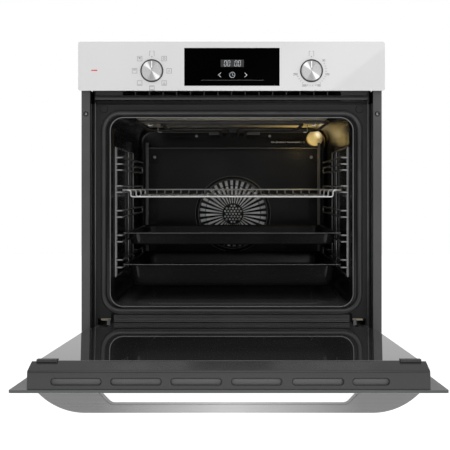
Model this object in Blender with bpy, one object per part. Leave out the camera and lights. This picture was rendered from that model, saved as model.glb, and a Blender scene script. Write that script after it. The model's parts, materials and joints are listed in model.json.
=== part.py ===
"""Built-in wall oven, 595 mm wide and high, with its door folded down.

Metres, +Z up, +X to the right, +Y into the cabinet. The origin is the centre of the base's flat
underside. Depths are given as d, the distance behind the closed front face.
"""

from itertools import product
from math import cos, pi, radians, sin

import bmesh
import bpy
from mathutils import Vector

# Driving dimensions
FRONT_Y = -0.295  # the front face of the control panel and of the closed door
FRONT_HALF = 0.2975
HEIGHT = 0.595
PANEL_Z = 0.500  # lower edge of the control panel
GLASS = 0.004
GAP = 0.0003  # between pieces that touch
SHEET = 0.0012
HOUSING_HALF = 0.274
HOUSING_D = 0.0523
REAR_D = 0.557
ROOF_Z = 0.590
FLANGE_D = 0.050  # front face of the front frame
FLANGE_HALF = 0.2725
FLANGE_TOP = 0.478
TRIM_D = 0.020
TRIM_HALF = 0.295
TRIM_TOP = 0.5035
CAVITY_HALF = 0.2375
CAVITY_Z = (0.072, 0.460)
CAVITY_BACK = 0.4753
MOUTH_HALF = 0.242
MOUTH_Z = (0.075, 0.4514)
FAN_Z = 0.246
BAFFLE_D = 0.430
WIRE = 0.004
RAIL_X = 0.2196  # inner side of the shelf rails
RAIL_D = (0.062, 0.390)
RAIL_PAIRS = ((0.1502, 0.1653), (0.2021, 0.2153), (0.2521, 0.2651), (0.3025, 0.3151), (0.3474, 0.3596))
TRAY_HALF = 0.2275
TRAY_D = (0.098, 0.428)
KNOB_Z = 0.5384
KNOB_X = {"function": -0.1544, "thermostat": 0.1550}
KNOB_R = 0.020
DISPLAY = (-0.0914, 0.0930, 0.5095, 0.5826)
HINGE_D, HINGE_Z = 0.020, 0.0273
HINGE_X = 0.246
DOOR_OPEN = radians(86.6)
DOOR_Z = (0.009, 0.497)
INNER_HALF = 0.2655
INNER_D = 0.035
BLOWER_D, BLOWER_Z = 0.3645, 0.525
LATCH_D, LATCH_Z = 0.044, 0.0385

FINISHES = {  # colour, roughness, metallic
    "white_glass": ((0.70, 0.70, 0.71), 0.08, 0.0),
    "black_glass": ((0.01, 0.01, 0.012), 0.05, 0.0),
    "smoked_glass": ((0.10, 0.10, 0.11), 0.05, 0.0),
    "lamp_glass": ((0.95, 0.75, 0.35), 0.10, 0.0),
    "steel": ((0.50, 0.50, 0.50), 0.30, 1.0),
    "dark_steel": ((0.07, 0.07, 0.075), 0.45, 0.0),
    "zinc": ((0.55, 0.56, 0.57), 0.40, 1.0),
    "enamel": ((0.012, 0.012, 0.014), 0.15, 0.0),
    "rubber": ((0.03, 0.03, 0.032), 0.60, 0.0),
    "plastic": ((0.04, 0.04, 0.042), 0.45, 0.0),
    "wool": ((0.65, 0.60, 0.45), 0.95, 0.0),
    "element": ((0.10, 0.10, 0.10), 0.50, 0.6),
}


# Meshes, in (x, d, z)
def skin(rings, ring_closed=False):
    """Closed mesh over loops of equal length: capped at both ends, or joined into a ring."""
    bm = bmesh.new()
    loops = [[bm.verts.new((x, FRONT_Y + d, z)) for x, d, z in ring] for ring in rings]
    if ring_closed:
        loops.append(loops[0])
    else:
        bm.faces.new(loops[0])
        bm.faces.new(loops[-1])
    for near, far in zip(loops, loops[1:]):
        for i, vert in enumerate(near):
            j = (i + 1) % len(near)
            bm.faces.new((vert, near[j], far[j], far[i]))
    bmesh.ops.recalc_face_normals(bm, faces=bm.faces)
    return bm


def blocks(add, cut=()):
    """Union of boxes less other boxes, each (x, x, d, d, z, z), as one closed mesh."""
    edges = [sorted({box[2 * a + s] for box in (*add, *cut) for s in (0, 1)}) for a in range(3)]
    middles = [[(lo + hi) / 2 for lo, hi in zip(line, line[1:])] for line in edges]

    def inside(cell, boxes):
        point = [middles[a][cell[a]] for a in range(3)]
        return any(all(box[2 * a] < point[a] < box[2 * a + 1] for a in range(3)) for box in boxes)

    kept = {
        cell for cell in product(*(range(len(line)) for line in middles))
        if inside(cell, add) and not inside(cell, cut)
    }
    bm = bmesh.new()
    corners = {}

    def corner(index):
        if index not in corners:
            x, d, z = (edges[a][index[a]] for a in range(3))
            corners[index] = bm.verts.new((x, FRONT_Y + d, z))
        return corners[index]

    for cell in kept:
        for axis, side in product(range(3), (0, 1)):
            beside = list(cell)
            beside[axis] += 2 * side - 1
            if tuple(beside) in kept:
                continue
            quad = []
            for step in ((0, 0), (1, 0), (1, 1), (0, 1)):
                index = list(cell)
                index[axis] += side
                index[(axis + 1) % 3] += step[0]
                index[(axis + 2) % 3] += step[1]
                quad.append(corner(tuple(index)))
            bm.faces.new(quad if side else reversed(quad))
    return bm


def sided(side, boxes):
    """Boxes drawn for the right-hand side, moved to side -1 or 1."""
    return [(*sorted((side * x0, side * x1)), *rest) for x0, x1, *rest in boxes]


def prism(outline, axis, low, high):
    """Outline in the plane across axis x, d or z, run from low to high."""
    def at(u, v, w):
        return {"x": (w, u, v), "d": (u, w, v), "z": (u, v, w)}[axis]

    return skin([[at(u, v, w) for u, v in outline] for w in (low, high)])


def rounded(half, z, radius, d, steps=5):
    """Rounded rectangle loop at depth d, from -half to half and z[0] to z[1]."""
    return [(x, d, w) for x, w in rounded_flat(-half, half, *z, radius, steps)]


def rounded_flat(x0, x1, y0, y1, radius, steps=5):
    corners = ((x1 - radius, y1 - radius), (x0 + radius, y1 - radius),
               (x0 + radius, y0 + radius), (x1 - radius, y0 + radius))
    points = []
    for quarter, (x, y) in enumerate(corners):
        for step in range(steps + 1):
            turn = (quarter + step / steps) * pi / 2
            points.append((x + radius * cos(turn), y + radius * sin(turn)))
    return points


def turned(profile, x, z, segments=32, hollow=False):
    """Rings of (radius, d) about an axis along d through (x, z); hollow joins the last to the first."""
    turns = [2 * pi * i / segments for i in range(segments)]
    rings = [[(x + r * cos(t), d, z + r * sin(t)) for t in turns] for r, d in profile]
    return skin(rings, hollow)


def blades(count, hub, tip, width):
    """Outline of a hub with straight radial blades, as (u, v)."""
    points = []
    for i in range(count):
        turn = 2 * pi * i / count
        for along, across in ((hub, -width), (tip, -width), (tip, width), (hub, width)):
            points.append((along * cos(turn) - across / 2 * sin(turn),
                           along * sin(turn) + across / 2 * cos(turn)))
    return points


def bent(points, radius, steps=4):
    """The route with each inner corner rounded off."""
    route = [Vector(points[0])]
    for before, corner, after in zip(points, points[1:], points[2:]):
        corner = Vector(corner)
        start = corner + (Vector(before) - corner).normalized() * radius
        end = corner + (Vector(after) - corner).normalized() * radius
        for step in range(steps + 1):
            t = step / steps
            route.append(start * (1 - t) ** 2 + corner * 2 * t * (1 - t) + end * t * t)
    return [*route, Vector(points[-1])]


# Objects
def material(name, finish):
    colour, roughness, metallic = FINISHES[finish]
    made = bpy.data.materials.new(f"{name}_{finish}")
    made.use_nodes = True
    shader = made.node_tree.nodes["Principled BSDF"]
    shader.inputs["Base Color"].default_value = (*colour, 1)
    shader.inputs["Roughness"].default_value = roughness
    shader.inputs["Metallic"].default_value = metallic
    return made


def pivot(name, x, d, z, tilt=0.0):
    """Empty on a joint's axis, which a moving body's pieces hang from."""
    empty = bpy.data.objects.new(name, None)
    empty.location = (x, FRONT_Y + d, z)
    empty.rotation_euler.x = tilt
    bpy.context.scene.collection.objects.link(empty)
    return empty


def place(name, bm, finish=None, parent=None, smooth=False):
    """Object from a mesh in the closed position. Without a finish it is a hidden cutter."""
    if parent:
        bmesh.ops.translate(bm, verts=bm.verts, vec=-parent.location)
    mesh = bpy.data.meshes.new(name)
    bm.to_mesh(mesh)
    bm.free()
    if smooth:
        mesh.shade_smooth()
        mesh.set_sharp_from_angle(angle=radians(35))
    obj = bpy.data.objects.new(name, mesh)
    obj.parent = parent
    bpy.context.scene.collection.objects.link(obj)
    if finish:
        mesh.materials.append(material(name, finish))
    else:
        obj.hide_render = True
        obj.display_type = "WIRE"
    return obj


def combine(obj, bm, operation="DIFFERENCE"):
    """Boolean of obj with a hidden mesh, which is given in the closed position too."""
    tool = place(f"{obj.name}_cutter{len(obj.modifiers)}", bm, parent=obj.parent)
    modifier = obj.modifiers.new(operation.lower(), "BOOLEAN")
    modifier.operation = operation
    modifier.object = tool


def tube(name, route, radius, finish):
    """Round bar along a route of (x, d, z)."""
    curve = bpy.data.curves.new(name, "CURVE")
    curve.dimensions = "3D"
    curve.bevel_depth = radius
    curve.bevel_resolution = 2
    curve.use_fill_caps = True
    spline = curve.splines.new("POLY")
    spline.points.add(len(route) - 1)
    for point, (x, d, z) in zip(spline.points, route):
        point.co = (x, FRONT_Y + d, z, 1)
    obj = bpy.data.objects.new(name, curve)
    curve.materials.append(material(name, finish))
    bpy.context.scene.collection.objects.link(obj)


# Housing
def housing():
    top, back = ROOF_Z - SHEET, REAR_D - SHEET
    inner = HOUSING_HALF - SHEET
    pan = FLANGE_HALF - 0.0017
    rear = back - GAP
    place("base_pan", blocks([
        (-pan, pan, HOUSING_D, rear, 0, SHEET),
        *sided(1, [(pan - SHEET, pan, HOUSING_D, rear, 0, 0.015)]),
        *sided(-1, [(pan - SHEET, pan, HOUSING_D, rear, 0, 0.015)]),
        (-pan, pan, HOUSING_D, HOUSING_D + SHEET, 0, 0.012),
    ]), "zinc")
    for side, word in ((-1, "left"), (1, "right")):
        place(f"side_panel_{word}", blocks(sided(side, [
            (inner, HOUSING_HALF, HOUSING_D, rear, 0.001, top - GAP)])), "zinc")
    slots = [(x, x + 0.020, back - 0.01, REAR_D + 0.01, 0.520, 0.575)
             for x in (-0.10 + 0.04 * i for i in range(8))]
    place("rear_panel", blocks(
        [(-HOUSING_HALF, HOUSING_HALF, back, REAR_D, 0.001, ROOF_Z)],
        [*slots, (-0.04, 0.04, back - 0.01, REAR_D + 0.01, FAN_Z - 0.04, FAN_Z + 0.04)]), "zinc")
    vents = [(x, x + 0.026, 0.440, 0.470, top - 0.01, ROOF_Z + 0.01)
             for x in (-0.213 + 0.05 * i for i in range(9))]
    place("top_panel", blocks(
        [(-HOUSING_HALF, HOUSING_HALF, HOUSING_D, rear, top, ROOF_Z)], vents), "zinc")
    place("terminal_block", blocks(
        [(-0.215, -0.150, REAR_D + GAP, REAR_D + 0.0095, 0.500, 0.545),
         (-0.195, -0.170, REAR_D + GAP, REAR_D + 0.0095, 0.490, 0.500)]), "plastic")


def front():
    depth = FLANGE_D + 0.002
    frame = place("front_frame", blocks(
        [(-FLANGE_HALF, FLANGE_HALF, FLANGE_D, depth, 0.003, FLANGE_TOP),
         *sided(1, [(FLANGE_HALF - SHEET, FLANGE_HALF, FLANGE_D, 0.066, 0.003, FLANGE_TOP)]),
         *sided(-1, [(FLANGE_HALF - SHEET, FLANGE_HALF, FLANGE_D, 0.066, 0.003, FLANGE_TOP)])],
        [box for side in (-1, 1) for box in sided(side, [(0.242, 0.2686, 0.04, 0.06, 0.012, 0.050)])]),
        "dark_steel")
    window = rounded_flat(-MOUTH_HALF - 0.003, MOUTH_HALF + 0.003,
                          MOUTH_Z[0] - 0.0034, MOUTH_Z[1] + 0.0038, 0.028)
    combine(frame, prism(window, "d", 0.04, 0.06))
    for side, word in ((-1, "left"), (1, "right")):
        trim = place(f"trim_{word}", blocks(sided(side, [
            (0.2795, TRIM_HALF, TRIM_D, TRIM_D + 0.0015, 0.014, TRIM_TOP),
            (0.2783, 0.2795, TRIM_D, 0.064, 0.014, TRIM_TOP),
            (HOUSING_HALF + GAP, 0.2795, 0.0628, 0.064, 0.014, TRIM_TOP),
            (HOUSING_HALF + GAP, 0.2755, 0.0628, 0.095, 0.014, TRIM_TOP)])), "dark_steel")
        combine(trim, turned([(0.0028, 0.01), (0.0028, 0.03)], side * 0.2863, 0.4568, 16))
    ribs = [(-0.218 + 0.0274 * i, -0.218 + 0.0274 * i + 0.0245, 0.045, 0.049, 0.497, 0.516)
            for i in range(16)]
    place("vent_grille", blocks(
        [(-FLANGE_HALF, FLANGE_HALF, 0.040, 0.048, 0.4862, 0.4942),
         (-FLANGE_HALF, FLANGE_HALF, 0.0462, 0.048, 0.4862, 0.530)], ribs), "plastic")
    offsets = ((0, 0.0497), (0, 0.0440), (0.003, 0.0404), (0.0055, 0.0396),
               (0.008, 0.0404), (0.011, 0.0440), (0.011, 0.0497))
    place("door_gasket", skin([
        rounded(0.2615 - o, (0.0595 + o, 0.4664 - o), 0.040 - o, d, 6) for o, d in offsets
    ], True), "rubber", smooth=True)


def cavity():
    wall = SHEET
    z0, z1 = CAVITY_Z
    m0, m1 = MOUTH_Z
    liner = place("cavity_liner", skin([
        rounded(CAVITY_HALF + wall, (z0 - wall, z1 + wall), 0.030, CAVITY_BACK + wall),
        rounded(CAVITY_HALF + wall, (z0 - wall, z1 + wall), 0.030, 0.058),
        rounded(MOUTH_HALF + 0.002, (m0 - 0.0028, m1 + 0.0028), 0.028, 0.0525),
        rounded(MOUTH_HALF + 0.0024, (m0 - 0.0025, m1 + 0.0025), 0.0275, 0.044),
        rounded(MOUTH_HALF, MOUTH_Z, 0.026, 0.044),
        rounded(CAVITY_HALF, (z0, z1), 0.029, 0.059),
        rounded(CAVITY_HALF, (z0, z1), 0.029, CAVITY_BACK),
    ]), "enamel", smooth=True)
    combine(liner, turned([(0.008, 0.46), (0.008, 0.49)], 0, FAN_Z, 16))
    place("insulation_wrap", blocks(
        [(-0.264, 0.264, 0.060, 0.505, 0.044, 0.480)],
        [(-0.2392, 0.2392, 0.050, 0.477, 0.056, 0.4617),
         (-0.036, 0.036, 0.470, 0.510, FAN_Z - 0.036, FAN_Z + 0.036)]), "wool")
    edge = 0.2185
    baffle = place("fan_cover", blocks([
        (-edge, edge, BAFFLE_D, BAFFLE_D + SHEET, 0.085, 0.412),
        (edge - 0.0015, edge, BAFFLE_D, CAVITY_BACK - GAP, 0.085, 0.412),
        (-edge, 0.0015 - edge, BAFFLE_D, CAVITY_BACK - GAP, 0.085, 0.412),
        (-edge, edge, BAFFLE_D, BAFFLE_D + 0.006, 0.4105, 0.412)]), "enamel")
    combine(baffle, radial_slots())
    place("fan_wheel", prism([(u, v + FAN_Z) for u, v in blades(12, 0.012, 0.070, 0.0016)],
                             "d", 0.440, 0.464), "steel", pivot("fan_axis", 0, 0.452, FAN_Z))
    place("fan_shaft", turned([(0.004, 0.464 + GAP), (0.004, 0.512)], 0, FAN_Z, 16),
          "steel", bpy.data.objects["fan_axis"], True)
    place("convection_motor", turned(
        [(0.0048, 0.516), (0.0048, 0.4778), (0.018, 0.4778), (0.018, 0.488), (0.033, 0.490),
         (0.033, 0.538), (0.012, 0.542)], 0, FAN_Z), "steel", smooth=True)


def radial_slots(count=18, inner=0.028, outer=0.082, width=0.0042):
    bm = bmesh.new()
    for i in range(count):
        turn = 2 * pi * i / count
        ring = []
        for along, across in ((inner, -width), (outer, -width), (outer, width), (inner, width)):
            ring.append((along * cos(turn) - across / 2 * sin(turn),
                         along * sin(turn) + across / 2 * cos(turn) + FAN_Z))
        slot = prism(ring, "d", BAFFLE_D - 0.01, BAFFLE_D + 0.004)
        copy = bpy.data.meshes.new("slot")
        slot.to_mesh(copy)
        slot.free()
        bm.from_mesh(copy)
        bpy.data.meshes.remove(copy)
    return bm


def heating():
    rod = 0.0033
    wall = CAVITY_BACK - GAP
    turns = [radians(-82 + 344 * i / 36) for i in range(37)]
    ring = [(0.088 * cos(t), 0.452, FAN_Z + 0.088 * sin(t)) for t in turns]
    tube("ring_element", [(ring[0][0], wall, ring[0][2]), *ring, (ring[-1][0], wall, ring[-1][2])],
         rod, "element")
    z = 0.447
    tube("grill_element", bent([
        (-0.03, wall, z), (-0.03, 0.325, z), (-0.20, 0.325, z), (-0.20, 0.09, z),
        (0.20, 0.09, z), (0.20, 0.325, z), (0.03, 0.325, z), (0.03, wall, z)], 0.025), rod, "element")
    place("grill_hanger", blocks([(-0.060, 0.067, 0.395, 0.425, z + rod + GAP, 0.4596),
                                  (-0.060, 0.067, 0.423, 0.425, z + rod + GAP, 0.4596)]), "zinc")
    z = 0.0638
    tube("bottom_element", bent([
        (-0.04, 0.465, z), (-0.04, 0.42, z), (-0.18, 0.42, z), (-0.18, 0.11, z),
        (0.18, 0.11, z), (0.18, 0.42, z), (0.04, 0.42, z), (0.04, 0.465, z)], 0.025), 0.003, "element")
    tube("sensor_probe", bent([(0.181, wall, 0.427), (0.181, 0.460, 0.427), (0.097, 0.460, 0.427)],
                              0.008), 0.003, "steel")
    lamp_x, lamp_z = 0.207, 0.4365
    place("lamp_housing", turned([(0.0195, wall), (0.0195, 0.469), (0.008, 0.4685), (0.008, 0.456),
                                  (0.004, 0.451)], lamp_x, lamp_z, 20), "plastic", smooth=True)
    place("lamp_lens", turned([(0.0145, 0.441), (0.0185, 0.4465), (0.0185, 0.4686), (0.0203, 0.4686),
                               (0.0203, 0.446), (0.0155, 0.439)], lamp_x, lamp_z, 24),
          "lamp_glass", smooth=True)


def racks():
    outer = RAIL_X + WIRE
    half = WIRE / 2
    far = CAVITY_HALF - 0.0004  # the posts stand against the cavity's side
    near = far - WIRE
    levels = [z for pair in RAIL_PAIRS for z in pair] + [0.3728]
    rails = [(RAIL_X, outer, *RAIL_D, z - half, z + half) for z in levels]
    ties = [(outer, near, d, d + WIRE, z - half, z + half) for d in (0.062, 0.318) for z in levels]
    posts = [(near, far, d, d + WIRE, 0.130, 0.395) for d in (0.062, 0.072, 0.241, 0.318)]
    bars = [(near, far, 0.062, 0.322, z, z + WIRE) for z in (0.130, 0.391)]
    for side, word in ((-1, "left"), (1, "right")):
        place(f"rack_{word}", blocks(sided(side, [*rails, *ties, *posts, *bars])), "steel")


def shelf_and_trays():
    front_d, back_d = TRAY_D
    deck = 0.2945
    foot = deck - WIRE
    runner = RAIL_PAIRS[3][0] + WIRE / 2 + GAP
    rods = [(x - 0.0015, x + 0.0015, front_d, back_d, deck, deck + 0.003)
            for x in (0.020 * (i - 9.5) for i in range(20))]
    boxes = list(rods)
    for d in (front_d, 0.180, 0.262, 0.344, back_d - WIRE):
        boxes.append((-0.2115, 0.2115, d, d + WIRE, foot, deck))
        for side in (-1, 1):
            boxes += sided(side, [(0.2075, 0.2115, d, d + WIRE, foot, runner + WIRE),
                                  (0.2075, TRAY_HALF, d, d + WIRE, runner, runner + WIRE)])
    for side in (-1, 1):
        boxes += sided(side, [(TRAY_HALF - WIRE, TRAY_HALF, front_d, back_d, runner, runner + WIRE)])
    boxes.append((-0.2115, 0.2115, back_d - WIRE, back_d, runner, runner + WIRE))
    place("wire_shelf", blocks(boxes), "steel", pivot("shelf_slide", 0, 0.263, deck))

    def tray(name, rim, floor, half_floor, corner):
        sheet, top = 0.0012, rim + 0.0012
        half_top, inset = 0.2165, 0.011
        slope = half_top - half_floor

        def loop(shrink, z, radius):
            return [(x, d, z) for x, d in rounded_flat(
                shrink - TRAY_HALF, TRAY_HALF - shrink, front_d + shrink, back_d - shrink, radius, 4)]

        place(name, skin([
            loop(inset + slope, floor, corner), loop(inset, rim, corner), loop(0, rim, 0.012),
            loop(0, top, 0.012), loop(inset + sheet, top, corner),
            loop(inset + slope + sheet, floor + sheet, corner)]), "enamel",
            pivot(f"{name}_slide", 0, 0.263, rim), True)

    tray("baking_tray", RAIL_PAIRS[1][1] + WIRE / 2 + GAP, 0.1925, 0.2130, 0.020)
    tray("roasting_pan", RAIL_PAIRS[0][0] + WIRE / 2 + GAP, 0.1060, 0.2110, 0.022)


def controls():
    x0, x1, z0, z1 = DISPLAY
    panel = place("control_panel", prism(
        rounded_flat(-FRONT_HALF, FRONT_HALF, PANEL_Z, HEIGHT, 0.004, 3), "d", 0, GLASS), "white_glass")
    combine(panel, blocks([(x0 - GAP, x1 + GAP, -0.01, 0.01, z0 - GAP, z1 + GAP)]))
    place("display_window", blocks([(x0, x1, GAP, GLASS, z0, z1)]), "black_glass")
    edge, deep = 0.268, 0.0435
    low, high = PANEL_Z + 0.004, HEIGHT - 0.007
    ends = [(edge - SHEET, edge, GLASS + GAP, deep, low, high)]
    place("control_carrier", blocks(
        [(-edge, edge, GLASS + GAP, 0.006, low, high),
         (-edge, edge, GLASS + GAP, deep, low, low + SHEET),
         (-edge, edge, GLASS + GAP, deep, high - SHEET, high), *ends, *sided(-1, ends)],
        [(x - 0.005, x + 0.005, 0, 0.01, KNOB_Z - 0.005, KNOB_Z + 0.005) for x in KNOB_X.values()]
        + [(-0.088, 0.090, 0, 0.01, 0.512, 0.580)]), "plastic")
    place("timer_module", blocks([(-0.070, 0.070, 0.006 + GAP, 0.030, 0.515, 0.580)]), "plastic")
    for word, x in KNOB_X.items():
        combine(panel, turned([(0.0045, -0.01), (0.0045, 0.01)], x, KNOB_Z, 16))
        switch = "function_switch" if word == "function" else "thermostat"
        place(switch, turned([(0.0034, 0.030), (0.0034, 0.006 + GAP), (0.019, 0.006 + GAP),
                              (0.019, 0.038), (0.012, 0.040)], x, KNOB_Z, 24), "plastic", smooth=True)
        place(f"knob_ring_{'left' if x < 0 else 'right'}", turned(
            [(0.0204, -GAP), (0.0204, -0.003), (0.0222, -0.0024), (0.0222, -GAP)],
            x, KNOB_Z, 40, True), "plastic", smooth=True)
        place(f"{word}_knob", turned(
            [(0.0186, -0.0042), (KNOB_R, -0.0032), (KNOB_R, -0.0008), (0.0030, -0.0008),
             (0.0030, 0.024)], x, KNOB_Z, 40), "steel", pivot(f"{word}_axis", x, 0, KNOB_Z), True)


def cooling():
    duct, deck, lid = 0.220, 0.4845, 0.530
    scroll, back, top = 0.3288, 0.400, 0.562
    side = [(duct - SHEET, duct, HOUSING_D, back, deck, lid + SHEET),
            (duct - SHEET, duct, scroll, back, lid, top + SHEET)]
    place("blower_housing", blocks(
        [(-duct, duct, HOUSING_D, back, deck, deck + SHEET),
         (-duct, duct, HOUSING_D, scroll + SHEET, lid, lid + SHEET),
         (-duct, duct, scroll, scroll + SHEET, lid, top + SHEET),
         (-duct, duct, scroll, back, top, top + SHEET),
         (-duct, duct, back - SHEET, back, deck, top + SHEET), *side, *sided(-1, side)],
        [(-0.11, 0.11, 0.345, 0.385, top - 0.01, top + 0.01)]), "zinc")
    axis = pivot("blower_axis", 0, BLOWER_D, BLOWER_Z)
    outline = [(BLOWER_D + u, BLOWER_Z + v) for u, v in blades(14, 0.018, 0.026, 0.0015)]
    place("blower_wheel", prism(outline, "x", -0.110, 0.118), "zinc", axis)
    motor = [(0.1183, 0.004), (0.126, 0.004), (0.126, 0.022), (0.168, 0.022)]
    turns = [2 * pi * i / 20 for i in range(20)]
    place("blower_motor", skin([
        [(x, BLOWER_D + r * cos(t), BLOWER_Z + r * sin(t)) for t in turns] for x, r in motor
    ]), "steel", smooth=True)


# Door, drawn closed and turned open about its hinge
def door():
    hinge = pivot("door_pivot", 0, HINGE_D, HINGE_Z, DOOR_OPEN)
    place("outer_glass", prism(rounded_flat(-FRONT_HALF, FRONT_HALF, *DOOR_Z, 0.004, 3),
                               "d", 0, GLASS), "white_glass", hinge)
    place("middle_glass", blocks([(-0.234, 0.234, 0.020, 0.024, 0.040, 0.455)]), "smoked_glass", hinge)
    right = [(0.230, 0.039), (0.230, 0.088), (INNER_HALF, 0.111), (INNER_HALF, 0.469)]
    place("inner_glass", prism([*right, *[(-x, z) for x, z in reversed(right)]],
                               "d", INNER_D, INNER_D + GLASS), "smoked_glass", hinge)
    inside = GLASS + GAP
    outer = [(inside, 0.464), (inside, 0.4945), (0.0270, 0.4945), (0.0290, 0.4932), (0.0300, 0.4905),
             (0.0384, 0.4705)]
    inner = [(0.0370, 0.4699), (0.0287, 0.4896), (0.0279, 0.4916), (0.0265, 0.4930), (0.0058, 0.4930),
             (0.0058, 0.464)]
    top = place("door_top_profile", prism([*outer, *inner], "x", -0.2728, 0.2728), "dark_steel", hinge)
    vents = ((-0.2407, -0.1722), (-0.1598, -0.0910), (-0.0783, -0.0094),
             (0.0038, 0.0722), (0.0861, 0.1558), (0.1678, 0.2177))
    combine(top, blocks([(x0, x1, 0.0112, 0.0205, 0.490, 0.500) for x0, x1 in vents]))
    place("door_bottom_rail", blocks([
        (-0.235, 0.235, 0.0046, 0.0058, 0.012, 0.036), (-0.235, 0.235, 0.0046, 0.036, 0.012, 0.0132),
        (-0.235, 0.235, 0.0348, 0.036, 0.012, 0.036)]), "dark_steel", hinge)
    place("handle", handle_shape(), "steel", hinge)
    clip = [(0.0394, 0.4640), (0.0412, 0.4640), (0.0412, 0.4735), (0.0375, 0.4735),
            (0.0385, 0.4712), (0.0394, 0.4712)]
    for side, word in ((-1, "left"), (1, "right")):
        place(f"door_rail_{word}", blocks(sided(side, [
            (0.2560, 0.2572, 0.0046, 0.0344, 0.030, 0.460),
            (0.2560, 0.2640, 0.0046, 0.0058, 0.030, 0.460),
            (0.2560, 0.2640, 0.0332, 0.0344, 0.030, 0.460)])), "dark_steel", hinge)
        ends = sorted((side * 0.237, side * 0.266))
        place(f"glass_clip_{word}", prism(clip, "x", *ends), "plastic", hinge)
        hinge_parts(side, word, hinge)


def handle_shape():
    """Bow plate: a straight bar whose ends sweep back to the glass."""
    reach, bar, tangent, bend = -0.0315, -0.0195, 0.197, 0.0935
    face = -GAP
    last = radians(90 - 41.5)
    arc = []
    for step in range(9):
        turn = radians(-90) + (pi / 2 - last) * step / 8
        arc.append((tangent + bend * cos(turn), reach + bend + bend * sin(turn)))
    arc = [point for point in arc if point[1] < face]
    right = [*arc, (0.268, face), (0.182, face), (0.163, bar)]
    return prism([*right, *[(-x, d) for x, d in reversed(right)]], "z", 0.460, 0.475)


def hinge_parts(side, word, hinge):
    x0, x1 = sorted((side * (HINGE_X - 0.002), side * (HINGE_X + 0.002)))
    eye = [radians(50 + 260 * i / 12) for i in range(13)]
    arm = place(f"hinge_arm_{word}", prism(
        [(HINGE_D + 0.008 * cos(t), HINGE_Z + 0.008 * sin(t)) for t in eye]
        + [(0.090, 0.0212), (0.090, 0.0334)], "x", x0, x1), "zinc")
    combine(arm, cross_pin(side, 0.0034, 0.020))
    body = place(f"hinge_body_{word}", blocks(sided(side, [
        (0.2395, 0.2525, 0.0060, 0.0075, 0.015, 0.260),
        (0.2395, 0.2410, 0.0060, 0.0335, 0.015, 0.260),
        (0.2510, 0.2525, 0.0060, 0.0335, 0.015, 0.260)])), "zinc", hinge)
    combine(body, cross_pin(side, 0.003, 0.0058), "UNION")
    turns = [2 * pi * i / 12 for i in range(12)]
    place(f"hinge_spring_{word}", skin([
        [(side * HINGE_X + 0.0042 * cos(t), 0.019 + 0.0042 * sin(t), z) for t in turns]
        for z in (0.110, 0.235)]), "steel", hinge)
    place(f"hinge_latch_{word}", blocks(sided(side, [
        (HINGE_X - 0.003, HINGE_X + 0.003, LATCH_D - 0.001, LATCH_D + 0.001, LATCH_Z - 0.001, 0.049)])),
        "zinc", pivot(f"latch_{word}_axis", side * HINGE_X, LATCH_D, LATCH_Z))


def cross_pin(side, radius, half_length):
    turns = [2 * pi * i / 16 for i in range(16)]
    return skin([[(side * HINGE_X + w, HINGE_D + radius * cos(t), HINGE_Z + radius * sin(t))
                  for t in turns] for w in (-half_length, half_length)])


def main():
    for obj in list(bpy.data.objects):
        bpy.data.objects.remove(obj, do_unlink=True)
    for build in (housing, front, cavity, heating, racks, shelf_and_trays, controls, cooling, door):
        build()


main()
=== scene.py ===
"""Dresses the built-in wall oven: enamel, glass, wires, coils, marks and sheet-metal detail.

Metres, +Z up, +X to the right, +Y into the cabinet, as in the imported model. Depths called d are
measured behind the closed front face. Door pieces are drawn closed and then swung open.
"""
import json
from math import atan2, cos, hypot, pi, radians, sin, sqrt

import bmesh
import bpy
from mathutils import Matrix, Vector


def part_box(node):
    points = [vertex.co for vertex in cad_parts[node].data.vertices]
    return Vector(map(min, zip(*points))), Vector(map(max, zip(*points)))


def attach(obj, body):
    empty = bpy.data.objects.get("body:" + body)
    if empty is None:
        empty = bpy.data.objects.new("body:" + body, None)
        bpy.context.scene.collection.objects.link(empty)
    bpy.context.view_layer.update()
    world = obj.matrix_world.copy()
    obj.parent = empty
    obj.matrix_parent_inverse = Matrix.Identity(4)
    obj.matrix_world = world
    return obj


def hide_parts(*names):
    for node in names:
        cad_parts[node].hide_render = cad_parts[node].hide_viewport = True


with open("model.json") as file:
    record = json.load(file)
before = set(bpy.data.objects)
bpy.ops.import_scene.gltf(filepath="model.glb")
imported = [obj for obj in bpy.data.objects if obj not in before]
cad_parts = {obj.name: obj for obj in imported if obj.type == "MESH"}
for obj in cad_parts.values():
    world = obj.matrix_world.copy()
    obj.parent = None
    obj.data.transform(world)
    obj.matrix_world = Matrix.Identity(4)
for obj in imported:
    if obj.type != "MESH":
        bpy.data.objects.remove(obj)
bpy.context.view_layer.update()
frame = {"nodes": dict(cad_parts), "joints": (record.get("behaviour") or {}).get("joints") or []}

bl_info = {
    "name": "Wall Oven Dresser",
    "version": (1, 0, 0),
    "blender": (4, 5, 0),
    "location": "View3D > Sidebar > Wall Oven",
    "description": "Builds the visible surfaces of a built-in wall oven around its packed solids",
    "category": "Object",
}

JOINTS = {joint["name"]: joint for joint in frame["joints"]}
FRONT_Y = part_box("control_panel")[0][1]
HINGE = Vector(JOINTS["door_hinge"]["pos_m"])
SWING = radians(JOINTS["door_hinge"]["range_deg"][1])
TO_OPEN = Matrix.Translation(HINGE) @ Matrix.Rotation(SWING, 4, "X") @ Matrix.Translation(-HINGE)
FINE = 0.00012  # how far printed marks stand off their glass
SIGN_HALF = 0.0045  # half the side of a printed sign
BACK_WALL = 0.4748  # depth of the cavity's back wall


def extent(node, closed=False):
    """(x0, x1, d0, d1, z0, z1) of a CAD node, for a door node with the door closed."""
    back = TO_OPEN.inverted() if closed else Matrix()
    points = [back @ vert.co for vert in frame["nodes"][node].data.vertices]
    sides = []
    for axis, shift in ((0, 0), (1, FRONT_Y), (2, 0)):
        values = [point[axis] - shift for point in points]
        sides += [min(values), max(values)]
    return sides


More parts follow.
